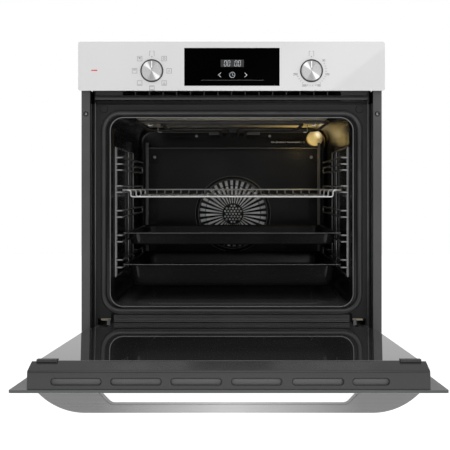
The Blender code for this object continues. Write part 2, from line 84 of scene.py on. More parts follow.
# Outlines and routes
def rounded(x0, x1, y0, y1, radius, steps=8):
    """Rounded rectangle as (u, v) points."""
    points = []
    corners = ((x1 - radius, y1 - radius), (x0 + radius, y1 - radius),
               (x0 + radius, y0 + radius), (x1 - radius, y0 + radius))
    for quarter, (x, y) in enumerate(corners):
        for step in range(steps + 1):
            turn = (quarter + step / steps) * pi / 2
            points.append((x + radius * cos(turn), y + radius * sin(turn)))
    return points


def resampled(points, count):
    """The closed outline again, with count points at equal spacing."""
    loop = [Vector(point) for point in (*points, points[0])]
    lengths = [0.0]
    for a, b in zip(loop, loop[1:]):
        lengths.append(lengths[-1] + (b - a).length)
    result, leg = [], 0
    for i in range(count):
        target = lengths[-1] * i / count
        while lengths[leg + 1] < target:
            leg += 1
        span = lengths[leg + 1] - lengths[leg] or 1
        result.append(loop[leg].lerp(loop[leg + 1], (target - lengths[leg]) / span))
    return result


def bent(points, radius, steps=7):
    """The route with each inner corner rounded to an arc-like curve."""
    route = [Vector(points[0])]
    for before, corner, after in zip(points, points[1:], points[2:]):
        corner = Vector(corner)
        before, after = Vector(before) - corner, Vector(after) - corner
        reach = min(radius, before.length * 0.49, after.length * 0.49)
        start, end = corner + before.normalized() * reach, corner + after.normalized() * reach
        for step in range(steps + 1):
            t = step / steps
            route.append(start * (1 - t) ** 2 + corner * 2 * t * (1 - t) + end * t * t)
    return [*route, Vector(points[-1])]


def ease(value, low, high):
    """0 below low, 1 above high and a smooth rise between."""
    t = min(max((value - low) / (high - low), 0), 1)
    return t * t * (3 - 2 * t)


# Mesh tools, all in (x, d, z)
def add_loft(bm, rings, ring_closed=False, loop_closed=True, caps=(True, True)):
    """Faces over loops of equal length."""
    loops = [[bm.verts.new((x, FRONT_Y + d, z)) for x, d, z in ring] for ring in rings]
    pairs = list(zip(loops, loops[1:]))
    if ring_closed:
        pairs.append((loops[-1], loops[0]))
    for near, far in pairs:
        for i in range(len(near) - (not loop_closed)):
            j = (i + 1) % len(near)
            bm.faces.new((near[i], near[j], far[j], far[i]))
    if loop_closed and not ring_closed:
        if caps[0]:
            bm.faces.new(loops[0])
        if caps[1]:
            bm.faces.new(loops[-1])


def add_wire(bm, route, radius, sides=12, closed=False):
    """Round bar along a route, with slightly rounded ends."""
    route = [Vector(point) for point in route]
    count = len(route)
    across = None
    rings = []
    for i, point in enumerate(route):
        before = route[i - 1] if i or closed else point
        after = route[(i + 1) % count] if i < count - 1 or closed else point
        along = (after - before).normalized()
        if across is None:
            across = along.orthogonal()
        across = (across - along * across.dot(along)).normalized()
        up = along.cross(across)
        turns = [2 * pi * k / sides for k in range(sides)]
        rings.append([point + (across * cos(t) + up * sin(t)) * radius for t in turns])
        if not closed and i in (0, count - 1):
            out = -along if i == 0 else along
            tip = [point + (vert - point) * 0.6 + out * radius * 0.4 for vert in rings[-1]]
            if i == 0:
                rings.insert(0, tip)
            else:
                rings.append(tip)
    add_loft(bm, rings, ring_closed=closed)


def add_lathe(bm, profile, centre, axis="d", segments=64, closed=False):
    """Rings of (radius, along) about an axis through centre."""
    x, d, z = centre
    rings = []
    for radius, along in profile:
        ring = []
        for i in range(segments):
            u, v = radius * cos(2 * pi * i / segments), radius * sin(2 * pi * i / segments)
            ring.append({"d": (x + u, d + along, z + v), "x": (x + along, d + u, z + v),
                         "z": (x + u, d + v, z + along)}[axis])
        rings.append(ring)
    add_loft(bm, rings, ring_closed=closed)


def add_prism(bm, outline, axis, low, high):
    """Outline across axis x, d or z, run from low to high."""
    def at(u, v, w):
        return {"x": (w, u, v), "d": (u, w, v), "z": (u, v, w)}[axis]

    add_loft(bm, [[at(u, v, w) for u, v in outline] for w in (low, high)])


def add_block(bm, x0, x1, d0, d1, z0, z1):
    add_prism(bm, [(x0, z0), (x1, z0), (x1, z1), (x0, z1)], "d", d0, d1)


def add_strokes(bm, lines, width, d, origin=(0, 0)):
    """Flat printed lines, each a chain of (x, z), drawn as thin bars in front of depth d."""
    for line in lines:
        points = [Vector((origin[0] + x, origin[1] + z)) for x, z in line]
        for a, b in zip(points, points[1:]):
            along = (b - a).normalized() * width / 2
            side = Vector((-along.y, along.x))
            corners = [a - along - side, b + along - side, b + along + side, a - along + side]
            add_prism(bm, [tuple(corner) for corner in corners], "d", d - FINE, d)


def screw_head(bm, x, z, d, radius=0.0035, facing=-1):
    """Pan head with a round recess, on a face across d."""
    add_lathe(bm, [(radius, 0), (radius, facing * radius * 0.25), (radius * 0.8, facing * radius * 0.5),
                   (radius * 0.45, facing * radius * 0.6), (radius * 0.4, facing * radius * 0.3)],
              (x, d, z), segments=20)


def piece(name, bm, finishes, body="root", nodes=(), angle=35, bevel=0.0, segments=2,
          swing=False, thickness=0.0, pivot=None, cutter=None):
    """Object from a mesh: shaded, bevelled, riding its body and standing for its CAD nodes."""
    bmesh.ops.recalc_face_normals(bm, faces=bm.faces)
    if swing:
        bmesh.ops.transform(bm, matrix=TO_OPEN, verts=bm.verts)
    if pivot is not None:
        bmesh.ops.translate(bm, verts=bm.verts, vec=-Vector(pivot))
    mesh = bpy.data.meshes.new(name)
    bm.to_mesh(mesh)
    bm.free()
    obj = bpy.data.objects.new(name, mesh)
    bpy.context.scene.collection.objects.link(obj)
    if pivot is not None:
        obj.location = pivot
    for finish in ([finishes] if isinstance(finishes, str) else finishes):
        mesh.materials.append(material(finish))
    if thickness:
        solid = obj.modifiers.new("sheet", "SOLIDIFY")
        solid.thickness = thickness
        solid.offset = 0
    if cutter is not None:
        cut = obj.modifiers.new("holes", "BOOLEAN")
        cut.object = cutter
        cut.solver = "EXACT"
    soften(obj, bevel, segments, angle)
    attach(obj, body)
    if nodes:
        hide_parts(*nodes)
    return obj


def soften(obj, bevel, segments=2, angle=35):
    """Rounds sharp edges and shades the rest smooth."""
    if bevel:
        edge = obj.modifiers.new("edges", "BEVEL")
        edge.width = bevel
        edge.segments = segments
        edge.limit_method = "ANGLE"
        edge.angle_limit = radians(angle)
        edge.harden_normals = False
        edge.use_clamp_overlap = True
    smooth = obj.modifiers.new("smooth", "WEIGHTED_NORMAL")
    smooth.keep_sharp = True
    if len(obj.data.polygons):
        obj.data.shade_smooth()
        obj.data.set_sharp_from_angle(angle=radians(angle))


def hidden_cutter(name, bm):
    """Mesh that only cuts: it isn't a piece and doesn't show."""
    bmesh.ops.recalc_face_normals(bm, faces=bm.faces)
    mesh = bpy.data.meshes.new(name)
    bm.to_mesh(mesh)
    bm.free()
    obj = bpy.data.objects.new(name, mesh)
    bpy.context.scene.collection.objects.link(obj)
    obj.hide_render = True
    obj.display_type = "WIRE"
    return obj


# Materials
class Recipe:
    """One material's node tree, with short calls to fill it."""

    def __init__(self, name, colour, roughness, metallic=0.0, **sockets):
        self.made = bpy.data.materials.new(name)
        self.made.use_nodes = True
        self.tree = self.made.node_tree
        self.shader = self.tree.nodes["Principled BSDF"]
        self.colour, self.roughness = colour, roughness
        self.set("Base Color", (*colour, 1))
        self.set("Roughness", roughness)
        self.set("Metallic", metallic)
        for socket, value in sockets.items():
            self.set(socket.replace("_", " "), value)
        self.place = self.tree.nodes.new("ShaderNodeTexCoord").outputs["Object"]

    def set(self, socket, value):
        if isinstance(value, bpy.types.NodeSocket):
            self.tree.links.new(value, self.shader.inputs[socket])
        else:
            self.shader.inputs[socket].default_value = value

    def node(self, kind, inputs=None, **settings):
        made = self.tree.nodes.new("ShaderNode" + kind)
        for key, value in settings.items():
            setattr(made, key, value)
        for key, value in (inputs or {}).items():
            if isinstance(value, bpy.types.NodeSocket):
                self.tree.links.new(value, made.inputs[key])
            else:
                made.inputs[key].default_value = value
        return made

    def grain(self, scale, stretch=(1, 1, 1), detail=4.0, distort=0.0):
        """Noise value at a scale per metre, drawn out by stretch."""
        mapped = self.node("Mapping", {"Vector": self.place, "Scale": stretch}).outputs["Vector"]
        return self.node("TexNoise", {"Vector": mapped, "Scale": scale, "Detail": detail,
                                      "Distortion": distort}).outputs["Fac"]

    def remap(self, value, low, high, start=0.3, stop=0.7):
        return self.node("MapRange", {"Value": value, "From Min": start, "From Max": stop,
                                      "To Min": low, "To Max": high}).outputs["Result"]

    def mix(self, fac, first, second):
        made = self.node("Mix", data_type="RGBA")
        for index, value in ((0, fac), (6, first), (7, second)):
            if isinstance(value, bpy.types.NodeSocket):
                self.tree.links.new(value, made.inputs[index])
            else:
                made.inputs[index].default_value = value
        return made.outputs[2]

    def shades(self, fac, spread):
        """The base colour, darker to lighter with fac."""
        dark = tuple(c * (1 - spread) for c in self.colour)
        light = tuple(min(c * (1 + spread), 1) for c in self.colour)
        return self.mix(self.remap(fac, 0, 1), (*dark, 1), (*light, 1))

    def bump(self, height, strength, distance):
        inputs = {"Height": height, "Strength": strength, "Distance": distance}
        return self.node("Bump", inputs).outputs["Normal"]

    def wear(self, spread, swing, scale=14.0):
        """Cloudy change of colour by spread and of roughness by swing."""
        clouds = self.grain(scale, detail=5.0, distort=0.4)
        self.set("Base Color", self.shades(clouds, spread))
        self.set("Roughness", self.remap(clouds, self.roughness - swing, self.roughness + swing))
        return clouds


def enamel(name, painted_floor_light):
    """Black vitreous enamel: glossy, orange-peeled and speckled, with a lighter tone painted where it's low
    down that stands in for light falling on the cavity floor.
    """
    made = Recipe(name, oven_colours().enamel, 0.15, Specular_IOR_Level=0.34)
    clouds = made.wear(0.25, 0.05, 9)
    specks = made.remap(made.grain(620, detail=1.0), 0.0, 1.0, 0.70, 0.78)
    height = made.node("SeparateXYZ", {"Vector": made.place}).outputs["Z"]
    # painted light: below 73 mm the enamel takes the lighter floor tone, standing in for light on the cavity
    # floor
    floor_with_painted_light = made.mix(made.remap(height, 0.8, 0, 0.073, 0.084), made.shades(clouds, 0.25), (*painted_floor_light, 1))
    made.set("Base Color", made.mix(specks, floor_with_painted_light, (*oven_colours().specks, 1)))
    made.set("Normal", made.bump(made.grain(260, detail=3.0), 0.08, 0.0005))
    return made.made


def coated(name, colour, roughness, metallic=0.0):
    """Even satin coat with a fine grain."""
    made = Recipe(name, colour, roughness, metallic)
    made.wear(0.08, 0.05)
    made.set("Normal", made.bump(made.grain(1400, detail=3.0), 0.10, 0.0003))
    return made.made


def zinc():
    """Zinc coated sheet with a faint spangle."""
    made = Recipe("zinc_sheet", (0.52, 0.53, 0.54), 0.36, 1.0)
    made.wear(0.08, 0.05, 6)
    spangle = made.node("TexVoronoi", {"Vector": made.place, "Scale": 90.0, "Randomness": 1.0})
    tone = made.remap(spangle.outputs["Distance"], 0.85, 1.0, 0.1, 0.7)
    base = made.node("MixRGB", {"Fac": 0.25, "Color1": made.shades(made.grain(6), 0.08),
                                "Color2": tone}, blend_type="MULTIPLY")
    made.set("Base Color", base.outputs["Color"])
    made.set("Normal", made.bump(made.grain(700), 0.06, 0.0003))
    return made.made


def brushed(name, colour, stretch, roughness=0.27, anisotropic=0.5):
    """Steel or aluminium brushed along the axis that stretch leaves small."""
    made = Recipe(name, colour, roughness, 1.0, Anisotropic=anisotropic)
    made.wear(0.05, 0.03, 8)
    lines = made.grain(60, stretch, detail=6.0)
    made.set("Base Color", made.shades(lines, 0.10))
    made.set("Roughness", made.remap(lines, roughness - 0.07, roughness + 0.09))
    made.set("Normal", made.bump(lines, 0.05, 0.0002))
    return made.made


def spun():
    """Turned aluminium cap: fine rings, and fan-shaped bands of painted highlight and painted shade set by
    the angle about the axis.
    """
    made = Recipe("spun_aluminium", (0.52, 0.52, 0.52), 0.26, 0.3, Anisotropic=0.7)
    made.set("Tangent", made.node("Tangent", direction_type="RADIAL", axis="Y").outputs["Tangent"])
    axes = made.node("SeparateXYZ", {"Vector": made.place})
    around = made.node("Math", {0: axes.outputs["Z"], 1: axes.outputs["X"]}, operation="ARCTAN2").outputs[0]

    def painted_band(middle, start):
        twice = made.node("Math", {0: around, 1: 2.0, 2: -2 * radians(middle)}, operation="MULTIPLY_ADD")
        wave = made.node("Math", {0: twice.outputs[0]}, operation="COSINE").outputs[0]
        return made.remap(wave, 0, 1, start, 0.97)

    rings = made.node("TexWave", {"Vector": made.place, "Scale": 420.0, "Distortion": 0.6, "Detail": 3.0},
                      wave_type="RINGS", rings_direction="Y").outputs["Fac"]
    # painted shade in the upright bands, painted highlight in the slanted ones
    base = made.mix(painted_band(88, 0.45), made.shades(rings, 0.04), (0.36, 0.36, 0.36, 1))
    base = made.mix(painted_band(131, 0.76), base, (0.96, 0.96, 0.96, 1))
    made.set("Base Color", base)
    made.set("Roughness", made.remap(rings, 0.20, 0.32, 0, 1))
    made.set("Normal", made.bump(rings, 0.05, 0.0001))
    return made.made


def drawn_wire(name, tone):
    """Drawn wire, slightly clouded by heat."""
    made = Recipe(name, (tone, tone, tone), 0.20, 0.72)
    clouds = made.wear(0.12, 0.06, 30)
    made.set("Base Color", made.mix(made.remap(clouds, 0, 0.35, 0.5, 0.8),
                                    made.shades(clouds, 0.12), (tone * 0.61, tone * 0.55, tone * 0.49, 1)))
    made.set("Normal", made.bump(made.grain(900), 0.05, 0.0002))
    return made.made


def element_tube():
    """Oxidised heater tube, browned in patches."""
    made = Recipe("heater_tube", (0.046, 0.044, 0.043), 0.42, 0.5)
    clouds = made.wear(0.35, 0.10, 40)
    made.set("Base Color", made.mix(made.remap(clouds, 0, 0.6, 0.5, 0.75),
                                    made.shades(clouds, 0.35), (0.070, 0.056, 0.046, 1)))
    made.set("Normal", made.bump(made.grain(1200), 0.2, 0.0002))
    return made.made


def printed_glass(name, colour, **sockets):
    """Glass printed on its back: deep gloss with faint smudges."""
    made = Recipe(name, colour, 0.016, **sockets)
    made.wear(0.015, 0.005, 5)
    made.set("Normal", made.bump(made.grain(30, detail=1.0), 0.002, 0.0002))
    return made.made


def door_mirror():
    """Heat-reflecting door glass: dark through, and a strong mirror at a low angle."""
    made = Recipe("reflecting_glass", oven_colours().door_glass, 0.012, Specular_IOR_Level=0.75,
                  Coat_Weight=1.0, Coat_Roughness=0.008)
    clouds = made.wear(0.10, 0.004, 5)
    made.set("Coat Roughness", made.remap(clouds, 0.006, 0.012))
    return made.made


def brushed_bow():
    """Brushed aluminium bar with a painted highlight that brightens the middle of its length."""
    made = Recipe("brushed_bow", (0.22, 0.22, 0.22), 0.30, 0.8, Anisotropic=0.6)
    made.wear(0.05, 0.03, 8)
    lines = made.grain(60, (0.02, 6, 6), detail=6.0)
    along = made.node("SeparateXYZ", {"Vector": made.place}).outputs["X"]
    away = made.node("Math", {0: along}, operation="ABSOLUTE").outputs[0]
    # painted highlight: the colour turns paler towards the middle of the bar
    painted_glint = made.remap(away, 1, 0, 0.01, 0.18)
    made.set("Base Color", made.mix(painted_glint, made.shades(lines, 0.08), (0.55, 0.55, 0.55, 1)))
    made.set("Roughness", made.remap(lines, 0.24, 0.38))
    made.set("Normal", made.bump(lines, 0.04, 0.0002))
    return made.made


def rubber():
    made = Recipe("door_seal", (0.030, 0.030, 0.030), 0.34)
    made.wear(0.18, 0.06, 25)
    made.set("Normal", made.bump(made.grain(1500, detail=4.0), 0.15, 0.0003))
    return made.made


def plastic(name, colour, roughness=0.42):
    """Moulded plastic with a fine spark-eroded grain."""
    made = Recipe(name, colour, roughness)
    made.wear(0.08, 0.05, 20)
    pits = made.node("TexVoronoi", {"Vector": made.place, "Scale": 1500.0}).outputs["Distance"]
    made.set("Normal", made.bump(pits, 0.12, 0.0002))
    return made.made


def wool():
    """Yellow-grey mineral wool, matted fibres."""
    made = Recipe("mineral_wool", (0.60, 0.54, 0.38), 0.95, Sheen_Weight=0.3)
    made.wear(0.25, 0.03, 30)
    fibres = made.grain(240, (1, 1, 6), detail=8.0, distort=2.5)
    made.set("Base Color", made.shades(fibres, 0.25))
    made.set("Normal", made.bump(fibres, 0.9, 0.002))
    return made.made


def lamp_glass():
    """Ribbed lamp cover lit warm from inside."""
    made = Recipe("lamp_cover_glass", (0.75, 0.66, 0.42), 0.10)
    x0, x1, _, _, z0, z1 = extent("lamp_lens")
    made.wear(0.05, 0.03, 50)
    middle = ((x0 + x1) / 2 + 0.006, 0, (z0 + z1) / 2 + 0.009)
    flat = made.node("VectorMath", {0: made.place, 1: (1, 0, 1)}, operation="MULTIPLY").outputs[0]
    away = made.node("VectorMath", {0: flat, 1: middle}, operation="DISTANCE").outputs["Value"]
    made.set("Emission Color", made.mix(made.remap(away, 1, 0, 0.001, 0.014), (0.45, 0.30, 0.08, 1),
                                        (0.98, 0.86, 0.58, 1)))
    made.set("Emission Strength", made.remap(away, 1.0, 0.07, 0.001, 0.014))
    made.set("Normal", made.bump(made.grain(500), 0.15, 0.0004))
    return made.made


def glow(name, colour, strength):
    """Lit mark or filament, a little uneven."""
    made = Recipe(name, colour, 0.4, Emission_Strength=strength)
    made.set("Emission Color", made.shades(made.grain(700), 0.12))
    return made.made


def ink(name, colour):
    """Screen-printed ink, slightly mottled."""
    made = Recipe(name, colour, 0.35)
    made.wear(0.10, 0.06, 300)
    made.set("Normal", made.bump(made.grain(2500), 0.1, 0.0001))
    return made.made


FINISHES = {
    "enamel": lambda: enamel("oven_enamel", oven_colours().enamel),
    # the cavity's floor gets a painted lighter grey: painted light on the same black enamel
    "cavity_enamel": lambda: enamel("cavity_enamel", (0.10, 0.10, 0.10)),
    "dark_steel": lambda: coated("dark_powder_coat", oven_colours().dark_metal, 0.34),
    "frame_coat": lambda: coated("front_frame_coat", oven_colours().frame_metal, 0.44),
    "profile_coat": lambda: coated("door_profile_coat", (0.027, 0.027, 0.028), 0.17),
    "duct_grey": lambda: coated("duct_grey", (0.085, 0.085, 0.085), 0.45),
    # pale grey coat: a painted highlight on the cavity's lip and on the fan cover's rings and edges; it also
    # draws the grey line across the display
    "lip_edge": lambda: coated("worn_enamel_edge", (0.13, 0.13, 0.13), 0.22),
    # painted highlight for the trays' rims
    "rolled_rim": lambda: coated("rolled_rim", (0.32, 0.32, 0.32), 0.20),
    "screen": lambda: coated("clock_screen_back", (0.020, 0.020, 0.021), 0.40),
    "zinc": zinc,
    "handle_steel": brushed_bow,
    "plain_steel": lambda: brushed("satin_steel", (0.52, 0.52, 0.52), (1, 1, 0.2), 0.3, 0.2),
    "fan_steel": lambda: coated("bright_fan_steel", (0.88, 0.88, 0.87), 0.30, 0.10),
    "spun": spun,
    "bright_wire": lambda: drawn_wire("bright_wire", 0.82),
    # the side racks are the shelf's wire in a darker tone: painted shade
    "rack_wire": lambda: drawn_wire("rack_wire", 0.30),
    "element": element_tube,
    "white_glass": lambda: printed_glass("light_panel_glass", oven_colours().panel),
    "glass_edge": lambda: printed_glass("glass_edge", (0.055, 0.060, 0.060)),
    "black_glass": lambda: printed_glass("black_display_glass", (0.0005, 0.0005, 0.0005),
                                         Specular_IOR_Level=0.01),
    "back_print": lambda: coated("grey_back_print", (0.15, 0.15, 0.15), 0.34),
    "smoked_glass": door_mirror,
    "rubber": rubber,
    "plastic": lambda: plastic("black_plastic", (0.030, 0.030, 0.032)),
    "black_plastic": lambda: plastic("gloss_black_plastic", (0.008, 0.008, 0.008), 0.25),
    "grey_plastic": lambda: plastic("grey_plastic", (0.16, 0.16, 0.165)),
    "ceramic": lambda: plastic("lamp_ceramic", (0.72, 0.68, 0.60), 0.6),
    "wool": wool,
    "lamp_glass": lamp_glass,
    "lamp_glow": lambda: glow("lamp_filament", (1.0, 0.66, 0.25), 14.0),
    "digits": lambda: glow("clock_digits", (0.70, 0.73, 0.76), 0.45),
    "red_mark": lambda: ink("indicator_red", (0.62, 0.03, 0.03)),
    "dark_ink": lambda: ink("dark_ink", (0.11, 0.11, 0.12)),
    "white_ink": lambda: ink("white_ink", (0.85, 0.85, 0.85)),
}
MATERIALS = {}


def material(finish):
    if finish not in MATERIALS:
        MATERIALS[finish] = FINISHES[finish]()
    return MATERIALS[finish]


def oven_colours():
    return bpy.context.scene.oven_colours


def oven_sizes():
    return bpy.context.scene.oven_sizes


def dress(nodes, finish, bevel=0.0):
    """Finish for CAD nodes that stay as they are, with softened edges."""
    for node in nodes:
        obj = frame["nodes"][node]
        obj.data.materials.clear()
        obj.data.materials.append(material(finish))
        if bevel:
            edge = obj.modifiers.new("edges", "BEVEL")
            edge.width = bevel
            edge.segments = 2
            edge.limit_method = "ANGLE"
            edge.angle_limit = radians(40)


# Control panel
def zero_digit(x, z, width, height):
    """Strokes of one slanted seven-segment 0."""
    half, gap, lean = height / 2, 0.12, 0.08
    ends = (((0, height), (width, height)), ((width, height), (width, half)), ((width, half), (width, 0)),
            ((0, 0), (width, 0)), ((0, half), (0, 0)), ((0, height), (0, half)))
    lines = []
    for (x0, z0), (x1, z1) in ends:
        start = (x0 + (x1 - x0) * gap, z0 + (z1 - z0) * gap)
        stop = (x1 - (x1 - x0) * gap, z1 - (z1 - z0) * gap)
        lines.append([(x + u + w * lean, z + w) for u, w in (start, stop)])
    return lines


def circle(radius, x=0.0, z=0.0, count=24):
    turns = [2 * pi * (i / count) for i in range(count + 1)]
    return [(x + radius * cos(t), z + radius * sin(t)) for t in turns]


def off_sign():
    """Open bracket around a dot, about its middle."""
    h = SIGN_HALF
    left = [(-h * 0.5, h), (-h, h), (-h, -h)]
    right = [(h * 0.5, h), (h, h), (h, -h)]
    return [left, right, circle(0.0006, 0, -0.0059, 10)]


def function_signs():
    """Plain cooking-function signs, each in a 9 mm square about its middle."""
    h = SIGN_HALF
    box = [(-h, -h), (h, -h), (h, h), (-h, h), (-h, -h)]
    top = [(-h * 0.6, h * 0.6), (h * 0.6, h * 0.6)]
    base = [(-h * 0.6, -h * 0.6), (h * 0.6, -h * 0.6)]
    fan = [[(0, 0), (h * 0.5 * cos(t), h * 0.5 * sin(t))] for t in (pi / 2, pi * 7 / 6, pi * 11 / 6)]
    teeth = [(-h * 0.6, h * 0.6), (-h * 0.3, h * 0.2), (0, h * 0.6), (h * 0.3, h * 0.2), (h * 0.6, h * 0.6)]
    return [
        off_sign(),
        [box, circle(h * 0.45, count=12), [(0, h * 0.7), (0, h * 0.5)]],
        [box, *fan],
        [box, *fan, base],
        [box, top, base],
        [box, base],
        [box, teeth],
        [box, teeth, *fan],
    ]


def digit_text(bm, text, x, z, size, d):
    """Dial numbers, drawn with short strokes."""
    shapes = {
        "0": [rounded(0, 0.55, 0, 1, 0.25, 3) + [(0.55, 0.75)]],
        "1": [[(0.12, 0.8), (0.32, 1), (0.32, 0)]],
        "2": [[(0, 0.78), (0.1, 0.96), (0.4, 1), (0.55, 0.78), (0.48, 0.5), (0, 0), (0.55, 0)]],
        "5": [[(0.52, 1), (0.06, 1), (0, 0.55), (0.3, 0.62), (0.53, 0.42), (0.5, 0.12), (0.25, 0), (0, 0.1)]],
    }
    left = x - size * 0.39 * (len(text) - 0.15)
    for i, letter in enumerate(text):
        lines = [[(left + (u + 0.78 * i) * size, z + (v - 0.5) * size) for u, v in line]
                 for line in shapes[letter]]
        add_strokes(bm, lines, size * 0.15, d)


def make_controls():
    dress(["control_panel"], "white_glass", 0.0008)
    dress(["display_window"], "black_glass", 0.0004)
    dress(["control_carrier", "timer_module", "function_switch", "thermostat"], "plastic")
    x0, x1 = extent("display_window")[:2]
    middle, d = (x0 + x1) / 2 + 0.0007, 0.0003
    marks = bmesh.new()
    height, width = 0.0108, 0.0042
    clock_z = 0.5475
    for x in (-0.0139, -0.0071, 0.0066, 0.0135):
        add_strokes(marks, zero_digit(middle + x - width / 2, clock_z, width, height), 0.0004, d)
    sign_z = 0.5305
    for x, point in ((-0.0245, -0.0022), (0.0265, 0.0022)):
        arrow = [(-point, 0.0041), (point, 0), (-point, -0.0041)]
        add_strokes(marks, [arrow], 0.0005, d, (middle + x, sign_z))
    add_strokes(marks, [circle(0.0052, count=28), [(0, 0.0030), (0, 0), (0.0023, -0.0009)]], 0.0004, d,
                (middle, sign_z))
    piece("clock_signs", marks, "digits")
    lines = bmesh.new()
    add_strokes(lines, [[(middle - 0.0610, 0.5203), (middle + 0.0610, 0.5203)]], 0.0004, d)
    piece("display_line", lines, "lip_edge")
    screen = bmesh.new()
    add_prism(screen, rounded(middle - 0.0225, middle + 0.0225, 0.5460, 0.5600, 0.0004, 2), "d",
              d - FINE / 2, d)
    piece("clock_screen", screen, "screen")
    dash = bmesh.new()
    add_strokes(dash, [[(-0.2708, 0.5393), (-0.2614, 0.5393)]], 0.0022, 0.0)
    piece("indicator_dash", dash, "red_mark")
    knob_marks()


def knob_marks():
    signs, scale = bmesh.new(), bmesh.new()
    x, _, z = JOINTS["function_knob_turn"]["pos_m"]
    reach = 0.0335
    for i, lines in enumerate(function_signs()):
        turn = pi / 2 - i * pi / 4
        add_strokes(signs, lines, 0.0006, 0.0, (x + reach * cos(turn), z + reach * sin(turn)))
    piece("function_signs", signs, "dark_ink")
    x, _, z = JOINTS["thermostat_knob_turn"]["pos_m"]
    add_strokes(scale, off_sign(), 0.0006, 0.0, (x, z + reach))
    first, number_step, tick_step = 50, 52, 10.4
    number_reach = 0.0315
    for i, text in enumerate(("50", "100", "150", "200", "250")):
        turn = pi / 2 - radians(first + number_step * i)
        digit_text(scale, text, x + number_reach * cos(turn), z + number_reach * sin(turn), 0.0036, 0.0)
    for i in range(21):
        if i % 5 == 0:
            continue
        turn = pi / 2 - radians(first + tick_step * i)
        ends = [(r * cos(turn), r * sin(turn)) for r in (0.0275, 0.0295)]
        add_strokes(scale, [ends], 0.0008, 0.0, (x, z))
    piece("temperature_scale", scale, "dark_ink")


def make_knobs():
    for word, side in (("function", "left"), ("thermostat", "right")):
        pivot = Vector(JOINTS[f"{word}_knob_turn"]["pos_m"])
        x, z = pivot.x, pivot.z
        face = -0.0042
        cap = bmesh.new()
        profile = [(0.0002, face), (0.008, face), (0.0172, face + 0.0001), (0.0182, face + 0.0002),
                   (0.0190, face + 0.0006), (0.0196, face + 0.0012), (0.0199, face + 0.0020),
                   (0.0199, -0.0010), (0.0196, -0.0007), (0.0034, -0.0007), (0.0030, 0.0), (0.0030, 0.0235),
                   (0.0026, 0.0240)]
        add_lathe(cap, profile, (x, 0, z), segments=96)
        piece(f"{word}_knob_cap", cap, "spun", f"{word}_knob", (f"{word}_knob",), pivot=pivot, angle=30)
        line = bmesh.new()
        add_prism(line, rounded(x - 0.0009, x + 0.0009, z + 0.0052, z + 0.0185, 0.0008, 3), "d",
                  face - 0.0002, face + 0.0009)
        piece(f"{word}_knob_pointer", line, "white_ink", f"{word}_knob", bevel=0.00015)
        ring = bmesh.new()
        add_lathe(ring, [(0.0201, -0.0002), (0.0202, -0.0030), (0.0207, -0.0036), (0.0214, -0.0033),
                         (0.0221, -0.0022), (0.0222, -0.0002)], (x, 0, z), segments=96, closed=True)
        piece(f"knob_collar_{side}", ring, "plastic", nodes=(f"knob_ring_{side}",), pivot=pivot)


